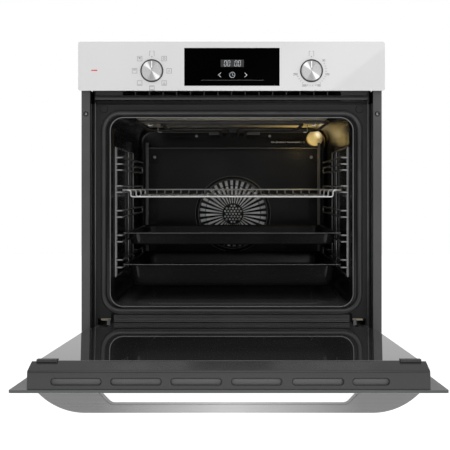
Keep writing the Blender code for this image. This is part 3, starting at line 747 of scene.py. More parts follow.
# Front of the housing
def make_front():
    dress(["front_frame"], "frame_coat", 0.0004)
    dress(["trim_left", "trim_right"], "dark_steel", 0.0004)
    d0, _, _, z1 = extent("front_frame")[2:]
    press = bmesh.new()
    for side in (-1, 1):
        rings = [(0.0078, 0.0001), (0.0077, -0.0004), (0.0073, -0.0007), (0.0068, -0.0005),
                 (0.0065, -0.0002)]
        add_lathe(press, rings, (side * 0.256, d0, 0.469), segments=40)
    piece("pressed_bosses", press, "frame_coat")
    drip = bmesh.new()
    for i in range(5):
        z = 0.0440 + i * 0.0030
        add_loft(drip, [[(x, d0 - 0.0012 + 0.0012 * (1 - cos(t)), z + 0.0013 * sin(t))
                         for t in [pi * k / 6 - pi / 2 for k in range(7)]] for x in (-0.236, 0.236)],
                 loop_closed=False)
    piece("drip_ribs", drip, "dark_steel", thickness=0.0003)
    bushes, screws = bmesh.new(), bmesh.new()
    for side in (-1, 1):
        x, z = side * 0.2863, 0.4568
        add_lathe(bushes, [(0.0026, 0.0216), (0.0026, 0.0192), (0.0030, 0.0187), (0.0044, 0.0187),
                           (0.0048, 0.0192), (0.0048, 0.0199)], (x, 0, z), segments=32, closed=True)
        add_lathe(screws, [(0.0024, 0.0215), (0.0024, 0.0206), (0.0015, 0.0204), (0.0013, 0.0211)],
                  (x, 0, z), segments=24)
    piece("fixing_bushes", bushes, "black_plastic")
    piece("fixing_screws", screws, "plain_steel")
    returns = bmesh.new()
    low, high = extent("trim_left")[4:]
    for side in (-1, 1):
        ends = sorted((side * 0.2783, side * 0.2775))
        add_block(returns, *ends, 0.0204, 0.0626, low + 0.0004, high - 0.0004)
    piece("trim_returns", returns, "enamel", bevel=0.0003)
    # painted shade: black enamel sheets fill the recess under the panel and its corners by the trims, ring
    # each pressed boss and run along the frame below the mouth
    recess = bmesh.new()
    add_block(recess, -0.2715, 0.2715, 0.0530, 0.0545, z1 - 0.0050, z1 + 0.0070)
    add_block(recess, -0.2700, 0.2700, 0.0400, 0.0530, z1 + 0.0055, z1 + 0.0065)
    for side in (-1, 1):
        for inner, back in ((0.2730, 0.0520), (0.2744, 0.0600)):
            add_block(recess, *sorted((side * inner, side * 0.2774)), 0.0420, back, 0.480, 0.5115)
        add_lathe(recess, [(0.0070, d0 - 0.0003), (0.0081, d0 - 0.0003), (0.0081, d0 - 0.0001),
                           (0.0070, d0 - 0.0001)], (side * 0.256, 0, 0.469), segments=40, closed=True)
    add_block(recess, -0.2415, 0.2415, d0 - 0.0003, d0 - 0.0001, 0.0425, 0.0600)
    piece("recess_sheet", recess, "enamel")
    gap = bmesh.new()
    rings = []
    for half, radius in ((0.2522, 0.0286), (0.2448, 0.0287)):
        low, high = 0.075 - (half - 0.242), 0.4514 + (half - 0.242)
        outline = resampled(rounded(-half, half, low, high, radius, 12), 200)
        rings.append([(x, d0 - 0.0004, z) for x, z in outline])
    for ring in (rings[1], rings[0]):
        rings.append([(x, d0 + 0.0004, z) for x, _, z in ring])
    add_loft(gap, rings, ring_closed=True)
    piece("mouth_shadow_rim", gap, "enamel")
    seal = bmesh.new()
    x0, x1, d0, _, z0, z1 = extent("door_gasket")
    corner = 0.040
    profile = [(0, 0.0083), (0.0002, 0.0050), (0.0014, 0.0026), (0.0032, 0.0010), (0.0055, 0.0002),
               (0.0078, 0.0010), (0.0096, 0.0026), (0.0108, 0.0050), (0.0110, 0.0083)]
    rings = [[(x, d0 + rise, z) for x, z in rounded(x0 + o, x1 - o, z0 + o, z1 - o, corner - o, 16)]
             for o, rise in profile]
    add_loft(seal, rings, ring_closed=True)
    piece("door_seal", seal, "rubber", nodes=("door_gasket",), angle=50)
    make_grille()


def make_grille():
    x0, x1, _, d1, z0, z1 = extent("vent_grille")
    grille = bmesh.new()
    bar = [(d1, z0), (0.0425, z0), (0.0408, z0 + 0.0008), (0.0401, z0 + 0.0026), (0.0400, z0 + 0.0042),
           (0.0404, z0 + 0.0062), (0.0416, z0 + 0.0076), (0.0432, z0 + 0.0080), (0.0462, z0 + 0.0080),
           (0.0464, z0 + 0.0100), (d1, z0 + 0.0100)]
    add_prism(grille, bar, "x", x0, x1)
    slot_z, slot_top, pitch = 0.497, 0.5165, 0.0274
    add_block(grille, x0, -0.218, 0.0462, d1, slot_z - 0.0006, z1)
    add_block(grille, 0.2190, x1, 0.0462, d1, slot_z - 0.0006, z1)
    add_block(grille, -0.218, 0.2190, 0.0462, d1, slot_top, z1)
    for i in range(1, 16):
        x = -0.218 + pitch * i - 0.0015
        add_prism(grille, [(x - 0.0011, 0.0445), (x + 0.0011, 0.0445), (x + 0.0014, d1), (x - 0.0014, d1)],
                  "z", slot_z - 0.0006, slot_top)
    piece("air_grille", grille, "plastic", nodes=("vent_grille",), bevel=0.0003)


# Cavity
def make_cavity():
    half, low, high = 0.2375, 0.072, 0.460
    mouth_half, mouth = 0.242, (0.075, 0.4514)
    count = 240
    rings = []

    def loop(half_x, z_low, z_high, radius, d, press=0.0):
        ring = []
        for x, z in resampled(rounded(-half_x, half_x, z_low, z_high, radius, 10), count):
            shift = 0.0
            if press and z < z_low + 0.001:
                inner = min(ease(0.205 - abs(x), 0, 0.008), ease(d, 0.085, 0.093), ease(0.405 - d, 0, 0.008))
                corner = ease(hypot(max(abs(x) - 0.150, 0), max(0.140 - d, 0)), 0.052, 0.044)
                shift = 0.0022 * min(inner, corner) * press
            if press and z > z_high - 0.001:
                inner = min(ease(0.215 - abs(x), 0, 0.01), ease(d, 0.075, 0.085), ease(0.430 - d, 0, 0.01))
                shift = 0.0020 * inner * press
            if press and abs(x) > half_x - 0.001:
                groove = max(0.0, sin((z - 0.095) * 2 * pi / 0.050)) ** 4
                inner = min(ease(d, 0.07, 0.09), ease(0.42 - d, 0, 0.02), ease(z, 0.10, 0.12),
                            ease(0.43 - z, 0, 0.02))
                x += (1 if x < 0 else -1) * -0.0006 * groove * inner
            ring.append((x, d, z + shift))
        return ring

    rings.append(loop(mouth_half + 0.0026, mouth[0] - 0.0027, mouth[1] + 0.0027, 0.0280, 0.0525))
    rings.append(loop(mouth_half + 0.0024, mouth[0] - 0.0025, mouth[1] + 0.0025, 0.0275, 0.0450))
    rings.append(loop(mouth_half + 0.0018, mouth[0] - 0.0019, mouth[1] + 0.0019, 0.0270, 0.0441))
    rings.append(loop(mouth_half + 0.0006, mouth[0] - 0.0006, mouth[1] + 0.0006, 0.0262, 0.0440))
    rings.append(loop(mouth_half - 0.0002, mouth[0] + 0.0002, mouth[1] - 0.0002, 0.0258, 0.0450))
    for i in range(9):
        t = ease(i, 0, 8)
        rings.append(loop(mouth_half + (half - mouth_half) * t, mouth[0] + (low - mouth[0]) * t,
                          mouth[1] + (high - mouth[1]) * t, 0.026 + 0.003 * t, 0.048 + 0.016 * i / 8))
    near, far, count_d = 0.064, 0.466, 71
    for i in range(1, count_d + 1):
        rings.append(loop(half, low, high, 0.029, near + (far - near) * i / count_d, 1.0))
    for shrink, d in ((0.0, 0.4672), (0.0006, 0.4705), (0.0020, 0.4730), (0.0046, 0.4748), (0.008, 0.4753)):
        rings.append(loop(half - shrink, low + shrink, high - shrink, 0.029, d))
    shell = bmesh.new()
    add_loft(shell, rings, caps=(False, True))
    piece("cavity_shell", shell, "cavity_enamel", nodes=("cavity_liner",), angle=60)
    dress(["insulation_wrap"], "wool")
    # painted highlight: a pale grey wire along the mouth's lip stands for the light on its rolled edge
    rim = bmesh.new()
    lip = 0.0006
    outline = rounded(-mouth_half - lip, mouth_half + lip, mouth[0] - lip, mouth[1] + lip, 0.0262, 14)
    add_wire(rim, [(x, 0.0443, z) for x, z in outline], 0.0011, 8, closed=True)
    piece("cavity_lip_edge", rim, "lip_edge")


def make_baffle():
    x0, x1, d0, d1, z0, z1 = extent("fan_cover")
    fan_z = JOINTS["fan_spin"]["pos_m"][2]
    spokes = oven_sizes().baffle_slots
    step = 4
    count = spokes * step
    slot_in, slot_out, step_in, step_out, flat = 0.0265, 0.085, 0.0885, 0.0945, 0.0965
    lift, margin = 0.0012, 0.0008
    radii = [0.0006, 0.012, 0.022, slot_in, 0.045, 0.065, slot_out, step_in, 0.0905, 0.0925, step_out, flat]
    bm = bmesh.new()
    grid = []

    def depth(r):
        return d0 + 0.0006 + 0.0030 * ease(r, step_in, step_out)

    for r in radii:
        ring = []
        for i in range(count):
            t = 2 * pi * i / count
            ring.append(bm.verts.new((r * cos(t), FRONT_Y + depth(r) - lift, fan_z + r * sin(t))))
        grid.append(ring)
    for k in range(len(radii) - 1):
        slotted = slot_in <= radii[k] < slot_out
        for i in range(count):
            if slotted and i % step < 2:
                continue
            j = (i + 1) % count
            bm.faces.new((grid[k][i], grid[k][j], grid[k + 1][j], grid[k + 1][i]))
    bm.faces.new(grid[0])
    rim = grid[-1]
    level = FRONT_Y + depth(1.0) - lift
    previous = rim
    for share in (0.08, 0.5, 1.0):
        ring = []
        for i in range(count):
            t = 2 * pi * i / count
            ray = Vector((cos(t), sin(t)))
            reach_x = (x1 - margin) / abs(ray.x) if abs(ray.x) > 1e-6 else 9
            rise = (z1 - margin - fan_z) if ray.y > 0 else (fan_z - z0 - margin)
            reach_z = rise / abs(ray.y) if abs(ray.y) > 1e-6 else 9
            reach = min(reach_x, reach_z)
            r = flat + (reach - flat) * share
            ring.append(bm.verts.new((r * ray.x, level, fan_z + r * ray.y)))
        for i in range(count):
            j = (i + 1) % count
            bm.faces.new((previous[i], previous[j], ring[j], ring[i]))
        previous = ring
    holes = bmesh.new()
    hex_pitch = 0.0078
    for a in range(-3, 4):
        for b in range(-3, 4):
            x, z = hex_pitch * (a + b / 2), hex_pitch * b * sqrt(3) / 2
            if hypot(x, z) < 0.0225:
                add_lathe(holes, [(0.0026, -0.01), (0.0026, 0.01)], (x, d0, fan_z + z), segments=12)
    cutter = hidden_cutter("hub_hole_cutter", holes)
    piece("fan_cover_plate", bm, "enamel", nodes=("fan_cover",), thickness=0.0010, cutter=cutter, angle=25)
    edges = bmesh.new()
    for side in (-1, 1):
        x = side * (x1 - 0.0012)
        add_block(edges, x - 0.0010, x + 0.0010, d0 + 0.001, d1, z0, z1)
    add_block(edges, x0 + 0.001, x1 - 0.001, d0 + 0.0016, d0 + 0.010, z1 - 0.0016, z1 - 0.0002)
    add_block(edges, x0 + 0.001, x1 - 0.001, d0 + 0.0016, d0 + 0.010, z0 + 0.0002, z0 + 0.0016)
    piece("fan_cover_edges", edges, "enamel", bevel=0.0004)
    # painted highlights: pale wires along the cover's side bends, round the dish's two steps and along its
    # top edge stand for the light on those edges
    trim = bmesh.new()
    bar_x, bar_low, bar_high = 0.2126, 0.145, 0.424
    for side in (-1, 1):
        add_wire(trim, [(side * bar_x, d0 + 0.0008, z) for z in (bar_low, bar_high)], 0.0009, 10)
    for radius, rise in ((0.0862, -0.0009), (0.0940, 0.0019)):
        add_wire(trim, [(u, d0 + rise, fan_z + v) for u, v in circle(radius, count=96)[:-1]], 0.0006, 8,
                 closed=True)
    add_wire(trim, [(x, d0 + 0.0008, z1 - 0.0014) for x in (x0 + 0.006, x1 - 0.006)], 0.0009, 10)
    piece("fan_cover_bright_edges", trim, "lip_edge")
    # painted highlight: grey bars beside the side wires, lighter than the enamel cover, stand for the light
    # on its bent side edges
    bars = bmesh.new()
    for side in (-1, 1):
        ends = sorted((side * bar_x, side * min(0.2214, x1)))
        add_block(bars, *ends, d0 + 0.0004, d0 + 0.0018, bar_low, bar_high)
    piece("fan_cover_edge_bars", bars, "dark_steel", bevel=0.0003)
    screws = bmesh.new()
    for side in (-1, 1):
        for z in (z1 - 0.024, z0 + 0.024):
            screw_head(screws, side * (x1 - 0.022), z, d0 + 0.0018, 0.0042)
    piece("fan_cover_screws", screws, "plain_steel")
    corner_presses(x1, d0 + 0.0018, z0, z1)


def corner_presses(half, d, z0, z1):
    """Raised L-shaped beads around the fan cover's screws."""
    beads = bmesh.new()
    for side in (-1, 1):
        for z, way in ((z1 - 0.024, -1), (z0 + 0.024, 1)):
            x = side * (half - 0.022)
            route = bent([(x + side * 0.012, d, z + way * 0.014), (x - side * 0.014, d, z + way * 0.014),
                          (x - side * 0.014, d, z - way * 0.012)], 0.010)
            add_wire(beads, route, 0.0011, 10)
    piece("fan_cover_beads", beads, "enamel")


def make_fan():
    d0, d1 = extent("fan_wheel")[2:4]
    length = d1 - d0
    pivot = Vector(JOINTS["fan_spin"]["pos_m"])
    fan = bmesh.new()
    blades = oven_sizes().fan_blades
    hub = [(0.0005, 0.004), (0.008, 0.004), (0.010, 0.006), (0.010, length - 0.002), (0.004, length)]
    add_lathe(fan, hub, (0, d0, pivot.z), segments=32)
    disc = [(0.010, length - 0.0035), (0.0695, length - 0.0030), (0.0695, length - 0.0018),
            (0.010, length - 0.0018)]
    add_lathe(fan, disc, (0, d0, pivot.z), segments=72, closed=True)
    for i in range(blades):
        t = 2 * pi * i / blades
        rings = []
        for along in (0.022, 0.034, 0.046, 0.058, 0.069):
            lean = t + (along - 0.022) * 6
            u, v = Vector((cos(lean), sin(lean))), Vector((-sin(lean), cos(lean)))
            ring = []
            for across, d in ((-0.0006, d0 + 0.0012), (0.0006, d0 + 0.0012), (0.0006, d1 - 0.003),
                              (-0.0006, d1 - 0.003)):
                point = u * along + v * across
                ring.append((point.x, d, pivot.z + point.y))
            rings.append(ring)
        add_loft(fan, rings)
    piece("fan_impeller", fan, "fan_steel", "fan", ("fan_wheel",), pivot=pivot)
    dress(["fan_shaft", "convection_motor", "blower_motor"], "plain_steel")
    shroud = bmesh.new()
    add_lathe(shroud, [(0.0715, 0.4700), (0.0843, 0.4700), (0.0843, 0.4710), (0.0715, 0.4710)],
              (0, 0, pivot.z), segments=96, closed=True)
    piece("fan_shroud_ring", shroud, "fan_steel")
    ring = bmesh.new()
    turns = [radians(-78 + 336 * i / 120) for i in range(121)]
    for radius, depth in ((0.088, 0.4475), (0.088, 0.4565)):
        loop = [(radius * cos(t), depth, pivot.z + radius * sin(t)) for t in turns]
        route = [(loop[0][0], BACK_WALL, loop[0][2]), *loop, (loop[-1][0], BACK_WALL, loop[-1][2])]
        add_wire(ring, route, 0.0031, 14)
    piece("ring_heater", ring, "element", nodes=("ring_element",), angle=60)


def make_heaters():
    z = 0.447
    wall = BACK_WALL
    grill = bmesh.new()
    outer = bent([(-0.03, wall, z), (-0.03, 0.325, z), (-0.20, 0.325, z), (-0.20, 0.09, z),
                  (0.20, 0.09, z), (0.20, 0.325, z), (0.03, 0.325, z), (0.03, wall, z)], 0.028, 10)
    inner = bent([(-0.012, wall, z), (-0.012, 0.295, z), (-0.150, 0.295, z), (-0.150, 0.135, z),
                  (0.150, 0.135, z), (0.150, 0.295, z), (0.012, 0.295, z), (0.012, wall, z)], 0.022, 10)
    add_wire(grill, outer, 0.0033, 16)
    add_wire(grill, inner, 0.0033, 16)
    piece("grill_heater", grill, "element", nodes=("grill_element",), angle=60)
    base = bmesh.new()
    low = 0.0638
    add_wire(base, bent([(-0.04, 0.465, low), (-0.04, 0.42, low), (-0.18, 0.42, low), (-0.18, 0.11, low),
                         (0.18, 0.11, low), (0.18, 0.42, low), (0.04, 0.42, low), (0.04, 0.465, low)], 0.025),
             0.003, 14)
    piece("base_heater", base, "element", nodes=("bottom_element",), angle=60)
    hanger = bmesh.new()
    add_prism(hanger, [(0.405, 0.4592), (0.425, 0.4592), (0.425, 0.4506), (0.4235, 0.4506), (0.4235, 0.4577),
                       (0.405, 0.4577)], "x", -0.050, 0.066)
    add_block(hanger, -0.040, 0.040, 0.4700, wall, 0.4510, 0.4580)
    for x0, x1, low in ((-0.060, -0.0338, 0.4425), (-0.0338, 0.0338, 0.4506), (0.0338, 0.067, 0.4426)):
        add_block(hanger, x0, x1, 0.4180, 0.4195, low, 0.4580)
    piece("grill_bracket", hanger, "dark_steel", nodes=("grill_hanger",), bevel=0.0004)
    hooks = bmesh.new()
    top, foot = 0.4585, 0.4415
    for x, d in ((-0.175, 0.112), (0.175, 0.112), (-0.175, 0.308), (0.175, 0.308)):
        toe = x + (0.009 if x < 0 else -0.009)
        add_wire(hooks, bent([(x, d, top), (x, d, foot), (toe, d, foot)], 0.004), 0.0011, 10)
    piece("grill_hooks", hooks, "bright_wire")
    probe = bmesh.new()
    probe_d, probe_z = 0.460, 0.427
    route = [(0.181, wall, probe_z), (0.181, probe_d, probe_z), (0.097, probe_d, probe_z)]
    add_wire(probe, bent(route, 0.009, 10), 0.003, 16)
    for x in (0.110, 0.160):
        add_lathe(probe, [(0.0031, -0.002), (0.0038, -0.002), (0.0038, 0.002), (0.0031, 0.002)],
                  (x, probe_d, probe_z), "x", 20, closed=True)
    piece("temperature_probe", probe, "plain_steel", nodes=("sensor_probe",), angle=50)
    screw = bmesh.new()
    screw_head(screw, -0.094, 0.4440, 0.4752, 0.0040)
    screw_head(screw, 0.094, 0.4440, 0.4752, 0.0040)
    piece("back_wall_screws", screw, "plain_steel")


def make_lamp():
    x0, x1, _, _, z0, z1 = extent("lamp_lens")
    centre = ((x0 + x1) / 2, 0, (z0 + z1) / 2)
    lens = bmesh.new()
    outer = [(0.0001, 0.4388)]
    for i in range(1, 9):
        t = radians(90 * i / 8)
        outer.append((0.0202 * sin(t), 0.4388 + 0.0085 * (1 - cos(t))))
    outer += [(0.0202, 0.4686), (0.0186, 0.4686), (0.0186, 0.4480), (0.0120, 0.4420), (0.0001, 0.4408)]
    add_lathe(lens, outer, centre, segments=56)
    for vert in lens.verts:
        u, v = vert.co.x - centre[0], vert.co.z - centre[2]
        if hypot(u, v) > 0.0195:
            ripple = 1 + 0.012 * cos(atan2(v, u) * 28)
            vert.co.x, vert.co.z = centre[0] + u * ripple * 0.99, centre[2] + v * ripple * 0.99
    piece("lamp_cover", lens, "lamp_glass", nodes=("lamp_lens",), angle=60)
    base = bmesh.new()
    add_lathe(base, [(0.0150, 0.4749), (0.0150, 0.4700), (0.0100, 0.4690), (0.0090, 0.4640),
                     (0.0050, 0.4635)], centre, segments=40)
    piece("lamp_socket", base, "ceramic", nodes=("lamp_housing",), bevel=0.0004)
    bulb = bmesh.new()
    add_lathe(bulb, [(0.0001, 0.4490), (0.0040, 0.4496), (0.0065, 0.4520), (0.0072, 0.4550), (0.0062, 0.4590),
                     (0.0045, 0.4632)], centre, segments=32)
    piece("lamp_bulb", bulb, "lamp_glow", angle=60)


# Racks, shelf and trays
def make_racks():
    """Five pairs of rails and a top rod, tied to posts that stand against the cavity's side."""
    r, front, tied, back = 0.0020, 0.064, 0.320, 0.388
    rods = ((0.1502, 0.1653), (0.2021, 0.2153), (0.2521, 0.2651), (0.3025, 0.3151), (0.3474, 0.3596))
    top = 0.3728
    post_low, post_high = 0.132, 0.393
    for side, word in ((-1, "left"), (1, "right")):
        rack = bmesh.new()
        x, post = side * 0.2216, side * 0.2351
        for low, high in rods:
            add_wire(rack, bent([(post, front, high), (x, front, high), (x, back, high), (x, back, low),
                                 (x, front, low), (post, front, low)], 0.0055, 6), r)
        add_wire(rack, bent([(post, front, top), (x, front, top), (x, back, top)], 0.0055, 6), r)
        for z in (*(level for pair in rods for level in pair), top):
            add_wire(rack, [(post, tied, z), (x, tied, z)], r)
        for d in (front, 0.074, 0.243, tied):
            add_wire(rack, [(post, d, post_low), (post, d, post_high)], r)
        for z in (post_low, post_high):
            add_wire(rack, [(post, front, z), (post, tied, z)], r)
        piece(f"side_rack_{word}", rack, "rack_wire", nodes=(f"rack_{word}",), angle=60)


def make_shelf():
    _, x1, d0, d1, _, z1 = extent("wire_shelf")
    shelf = bmesh.new()
    deck, lift = 0.2961, z1 - 0.0020
    frame_x, edge_x = 0.2095, x1 - 0.0020
    for i in range(20):
        x = 0.020 * (i - 9.5)
        route = bent([(x, d0 + 0.0022, deck - 0.0030), (x, d0 + 0.0022, deck), (x, d1 - 0.0045, deck),
                      (x, d1 - 0.0022, lift - 0.002)], 0.003, 4)
        add_wire(shelf, route, 0.0014, 10)
    for d in (d0 + 0.0022, 0.182, 0.264, 0.346):
        route = [(-edge_x, d, lift), (-frame_x, d, lift), (-frame_x, d, deck - 0.0032),
                 (frame_x, d, deck - 0.0032), (frame_x, d, lift), (edge_x, d, lift)]
        add_wire(shelf, bent(route, 0.005, 5), 0.0019)
    for side in (-1, 1):
        add_wire(shelf, [(side * edge_x, d, lift) for d in (d0 + 0.002, d1 - 0.006)], 0.0020)
    route = [(-edge_x, d1 - 0.016, lift), (-edge_x, d1 - 0.0022, lift),
             (edge_x, d1 - 0.0022, lift), (edge_x, d1 - 0.016, lift)]
    add_wire(shelf, bent(route, 0.012), 0.0020)
    piece("oven_shelf", shelf, "bright_wire", "wire_shelf", ("wire_shelf",), angle=60)


def tray(name, node, ribs):
    """Enamelled tray with a rolled rim; ribs presses grooves into its floor."""
    x0, x1, d0, d1, z0, z1 = extent(node)
    top = z1 - 0.0001
    deep = 0.0110
    floor_half, soft = (0.2130, 0.006) if ribs else (0.2110, 0.014)
    slope = 0.2165 - floor_half
    count = 200

    def loop(shrink, z, radius):
        flat = rounded(x0 + shrink, x1 - shrink, d0 + shrink, d1 - shrink, radius, 8)
        return [(x, d, z) for x, d in resampled(flat, count)]

    bm = bmesh.new()
    rings = [loop(0.0005, top - 0.0006, 0.0120), loop(0.0005, top - 0.0003, 0.0122),
             loop(0.0012, top, 0.0122), loop(deep - 0.0028, top, 0.0180),
             loop(deep - 0.0008, top - 0.0006, 0.0190), loop(deep, top - 0.0022, 0.0200)]
    bottom = z0 + 0.0002
    for i in range(1, 6):
        t = i / 6
        rings.append(loop(deep + slope * t, top - (top - bottom) * t * 0.8, 0.020))
    for i in range(1, 6):
        t = radians(90 * i / 5)
        rings.append(loop(deep + slope + soft * (1 - cos(t)) * 1.2,
                          bottom + soft * (1 - sin(t)) * 0.9, 0.020))
    add_loft(bm, rings, caps=(False, False))
    ring_out = list(bm.verts)[-count:]
    inset = deep + slope + soft * 1.2
    for shrink in [inset + (0.155 - inset) * k / 34 for k in range(1, 35)]:
        radius = max(0.020 - (shrink - inset) * 0.1, 0.004)
        flat = rounded(x0 + shrink, x1 - shrink, d0 + shrink, d1 - shrink, radius, 8)
        ring = []
        for x, d in resampled(flat, count):
            rise = 0.0
            if ribs and d > d1 - 0.085:
                rise = 0.0016 * max(0, sin((d - d1 + 0.085) * 2 * pi / 0.014)) * ease(0.17 - abs(x), 0, 0.01)
                rise *= ease(d1 - 0.022 - d, 0, 0.006)
            elif not ribs:
                rise = 0.0012 * ease(shrink, inset + 0.004, inset + 0.012)
            ring.append(bm.verts.new((x, FRONT_Y + d, bottom + rise)))
        for i in range(count):
            j = (i + 1) % count
            bm.faces.new((ring_out[i], ring_out[j], ring[j], ring[i]))
        ring_out = ring
    bm.faces.new(ring_out)
    piece(name, bm, "enamel", node, (node,), thickness=0.0010, angle=60)


def make_trays():
    tray("flat_tray", "baking_tray", True)
    tray("deep_pan", "roasting_pan", False)
    for node, name in (("baking_tray", "flat_tray_rim_edge"), ("roasting_pan", "deep_pan_rim_edge")):
        x0, x1, d0, d1, _, z1 = extent(node)
        # painted highlight: the rim wire's pale grey stands for the light along the trays' enamelled rolled
        # rims
        rim = bmesh.new()
        outline = rounded(x0 + 0.0010, x1 - 0.0010, d0 + 0.0010, d1 - 0.0010, 0.0115, 10)
        add_wire(rim, [(x, d, z1 - 0.0007) for x, d in outline], 0.0007, 10, closed=True)
        piece(name, rim, "rolled_rim", node)


# Door
def make_door_glass():
    x0, x1, d0, d1, z0, z1 = extent("outer_glass", True)
    pane = bmesh.new()
    outline = rounded(x0, x1, z0, z1, 0.004, 6)
    add_prism(pane, outline, "d", d0, d1)
    pane.faces.ensure_lookup_table()
    for face in pane.faces:
        face.material_index = 2
    pane.faces[-2].material_index, pane.faces[-1].material_index = 0, 1
    piece("door_front_pane", pane, ["white_glass", "back_print", "glass_edge"], "door", ("outer_glass",),
          bevel=0.0006, swing=True)
    _, x1, d0, d1, _, z1 = extent("inner_glass", True)
    right = [(0.230, 0.039), (0.230, 0.088), (x1, 0.111), (x1, z1)]
    inner = bmesh.new()
    add_prism(inner, [*right, *[(-x, z) for x, z in reversed(right)]], "d", d0, d1)
    piece("door_inner_pane", inner, "smoked_glass", "door", ("inner_glass",), bevel=0.0005, swing=True)
    dress(["middle_glass"], "smoked_glass")


def make_door_frame():
    x0, x1, inside, _, z0, z1 = extent("door_top_profile", True)
    top = bmesh.new()
    outer = [(inside, z0), (inside, z1 - 0.0004), (inside + 0.0004, z1), (0.0266, z1)]
    for i in range(1, 8):
        t = radians(68 * i / 7)
        outer.append((0.0266 + 0.0034 * sin(t), z1 - 0.0034 * (1 - cos(t))))
    outer += [(0.0380, 0.4712), (0.0383, 0.4700)]
    inner = [(0.0370, 0.4699), (0.0287, 0.4896), (0.0279, 0.4912), (0.0262, z1 - 0.0015),
             (0.0058, z1 - 0.0015), (0.0058, z0)]
    add_prism(top, [*outer, *inner], "x", x0, x1)
    cuts, rims = bmesh.new(), bmesh.new()
    for a, b in ((-0.2407, -0.1722), (-0.1598, -0.0910), (-0.0783, -0.0094),
                 (0.0038, 0.0722), (0.0861, 0.1558), (0.1678, 0.2177)):
        outline = rounded(a, b, 0.0100, 0.0194, 0.0044, 6)
        add_prism(cuts, outline, "z", z1 - 0.006, z1 + 0.004)
        # painted shade: dark enamel rings trace each vent slot's edge
        add_wire(rims, [(x, d, z1 - 0.0004) for x, d in outline], 0.0007, 8, closed=True)
    bmesh.ops.transform(cuts, matrix=TO_OPEN, verts=cuts.verts)
    cutter = hidden_cutter("door_vent_cutter", cuts)
    piece("door_top_rail", top, "profile_coat", "door", ("door_top_profile",), swing=True, cutter=cutter,
          angle=30)
    piece("door_vent_rims", rims, "enamel", "door", swing=True)
    duct = bmesh.new()
    add_block(duct, x0 + 0.004, x1 - 0.004, 0.0062, 0.0240, z1 - 0.0056, z1 - 0.0050)
    for i in range(150):
        x = -0.2385 + i * 0.0032
        add_block(duct, x, x + 0.0012, 0.0066, 0.0236, z1 - 0.0050, z1 - 0.0046)
    piece("door_duct_floor", duct, "duct_grey", "door", swing=True)
    caps = bmesh.new()
    for side in (-1, 1):
        ends = sorted((side * (x1 + 0.0001), side * (x1 - 0.0022)))
        add_prism(caps, [(inside + 0.0014, z0), (inside + 0.0014, z1 - 0.0018), (0.0262, z1 - 0.0018),
                         (0.0290, 0.4894), (0.0368, 0.4702), (0.0368, z0)], "x", *ends)
    piece("door_end_caps", caps, "plastic", "door", bevel=0.0004, swing=True)
    dress(["door_rail_left", "door_rail_right", "door_bottom_rail"], "dark_steel", 0.0003)
    for side, word in ((-1, "left"), (1, "right")):
        clip = bmesh.new()
        ends = sorted((side * 0.237, side * 0.266))
        add_prism(clip, [(0.0394, 0.4640), (0.0408, 0.4640), (0.0412, 0.4644), (0.0412, 0.4731),
                         (0.0408, 0.4735), (0.0375, 0.4735), (0.0385, 0.4712), (0.0394, 0.4712)], "x", *ends)
        for x in (ends[0] + 0.006, ends[1] - 0.006):
            add_block(clip, x - 0.0012, x + 0.0012, 0.0405, 0.0413, 0.4650, 0.4728)
        piece(f"pane_clip_{word}", clip, "plastic", "door", (f"glass_clip_{word}",), bevel=0.0004, swing=True)


def make_handle():
    z0, z1 = extent("handle", True)[4:]
    reach, bar, tangent, bend = -0.0315, -0.0195, 0.197, 0.0935
    face = -0.0004
    arc = []
    for step in range(25):
        turn = -pi / 2 + radians(48.6) * step / 24
        arc.append((tangent + bend * cos(turn), reach + bend + bend * sin(turn)))
    arc = [point for point in arc if point[1] < face]
    inner = bent([(0.182, face, 0), (0.163, bar, 0), (0, bar, 0)], 0.005, 8)[:-1]
    right = [*arc, (0.268, face), *[(x, d) for x, d, _ in inner]]
    outline = [*right, *[(-x, d) for x, d in reversed(right)]]
    bow = bmesh.new()
    add_prism(bow, outline, "z", z0, z1)
    piece("bow_handle", bow, "handle_steel", "door", ("handle",), bevel=0.0012, segments=3, swing=True,
          angle=40)


def make_hinges():
    dress(["hinge_arm_left", "hinge_arm_right", "hinge_body_left", "hinge_body_right",
           "hinge_latch_left", "hinge_latch_right"], "zinc", 0.0003)
    coils = oven_sizes().spring_coils
    for side, word in ((-1, "left"), (1, "right")):
        spring = bmesh.new()
        z0, z1 = 0.112, 0.233
        per_turn, radius = 16, 0.0034
        route = []
        for i in range(coils * per_turn + 1):
            t = 2 * pi * i / per_turn
            z = z0 + (z1 - z0) * i / (coils * per_turn)
            route.append((side * 0.246 + radius * cos(t), 0.019 + radius * sin(t), z))
        add_wire(spring, route, 0.0008, 8)
        piece(f"door_spring_{word}", spring, "plain_steel", "door", (f"hinge_spring_{word}",), swing=True,
              angle=60)


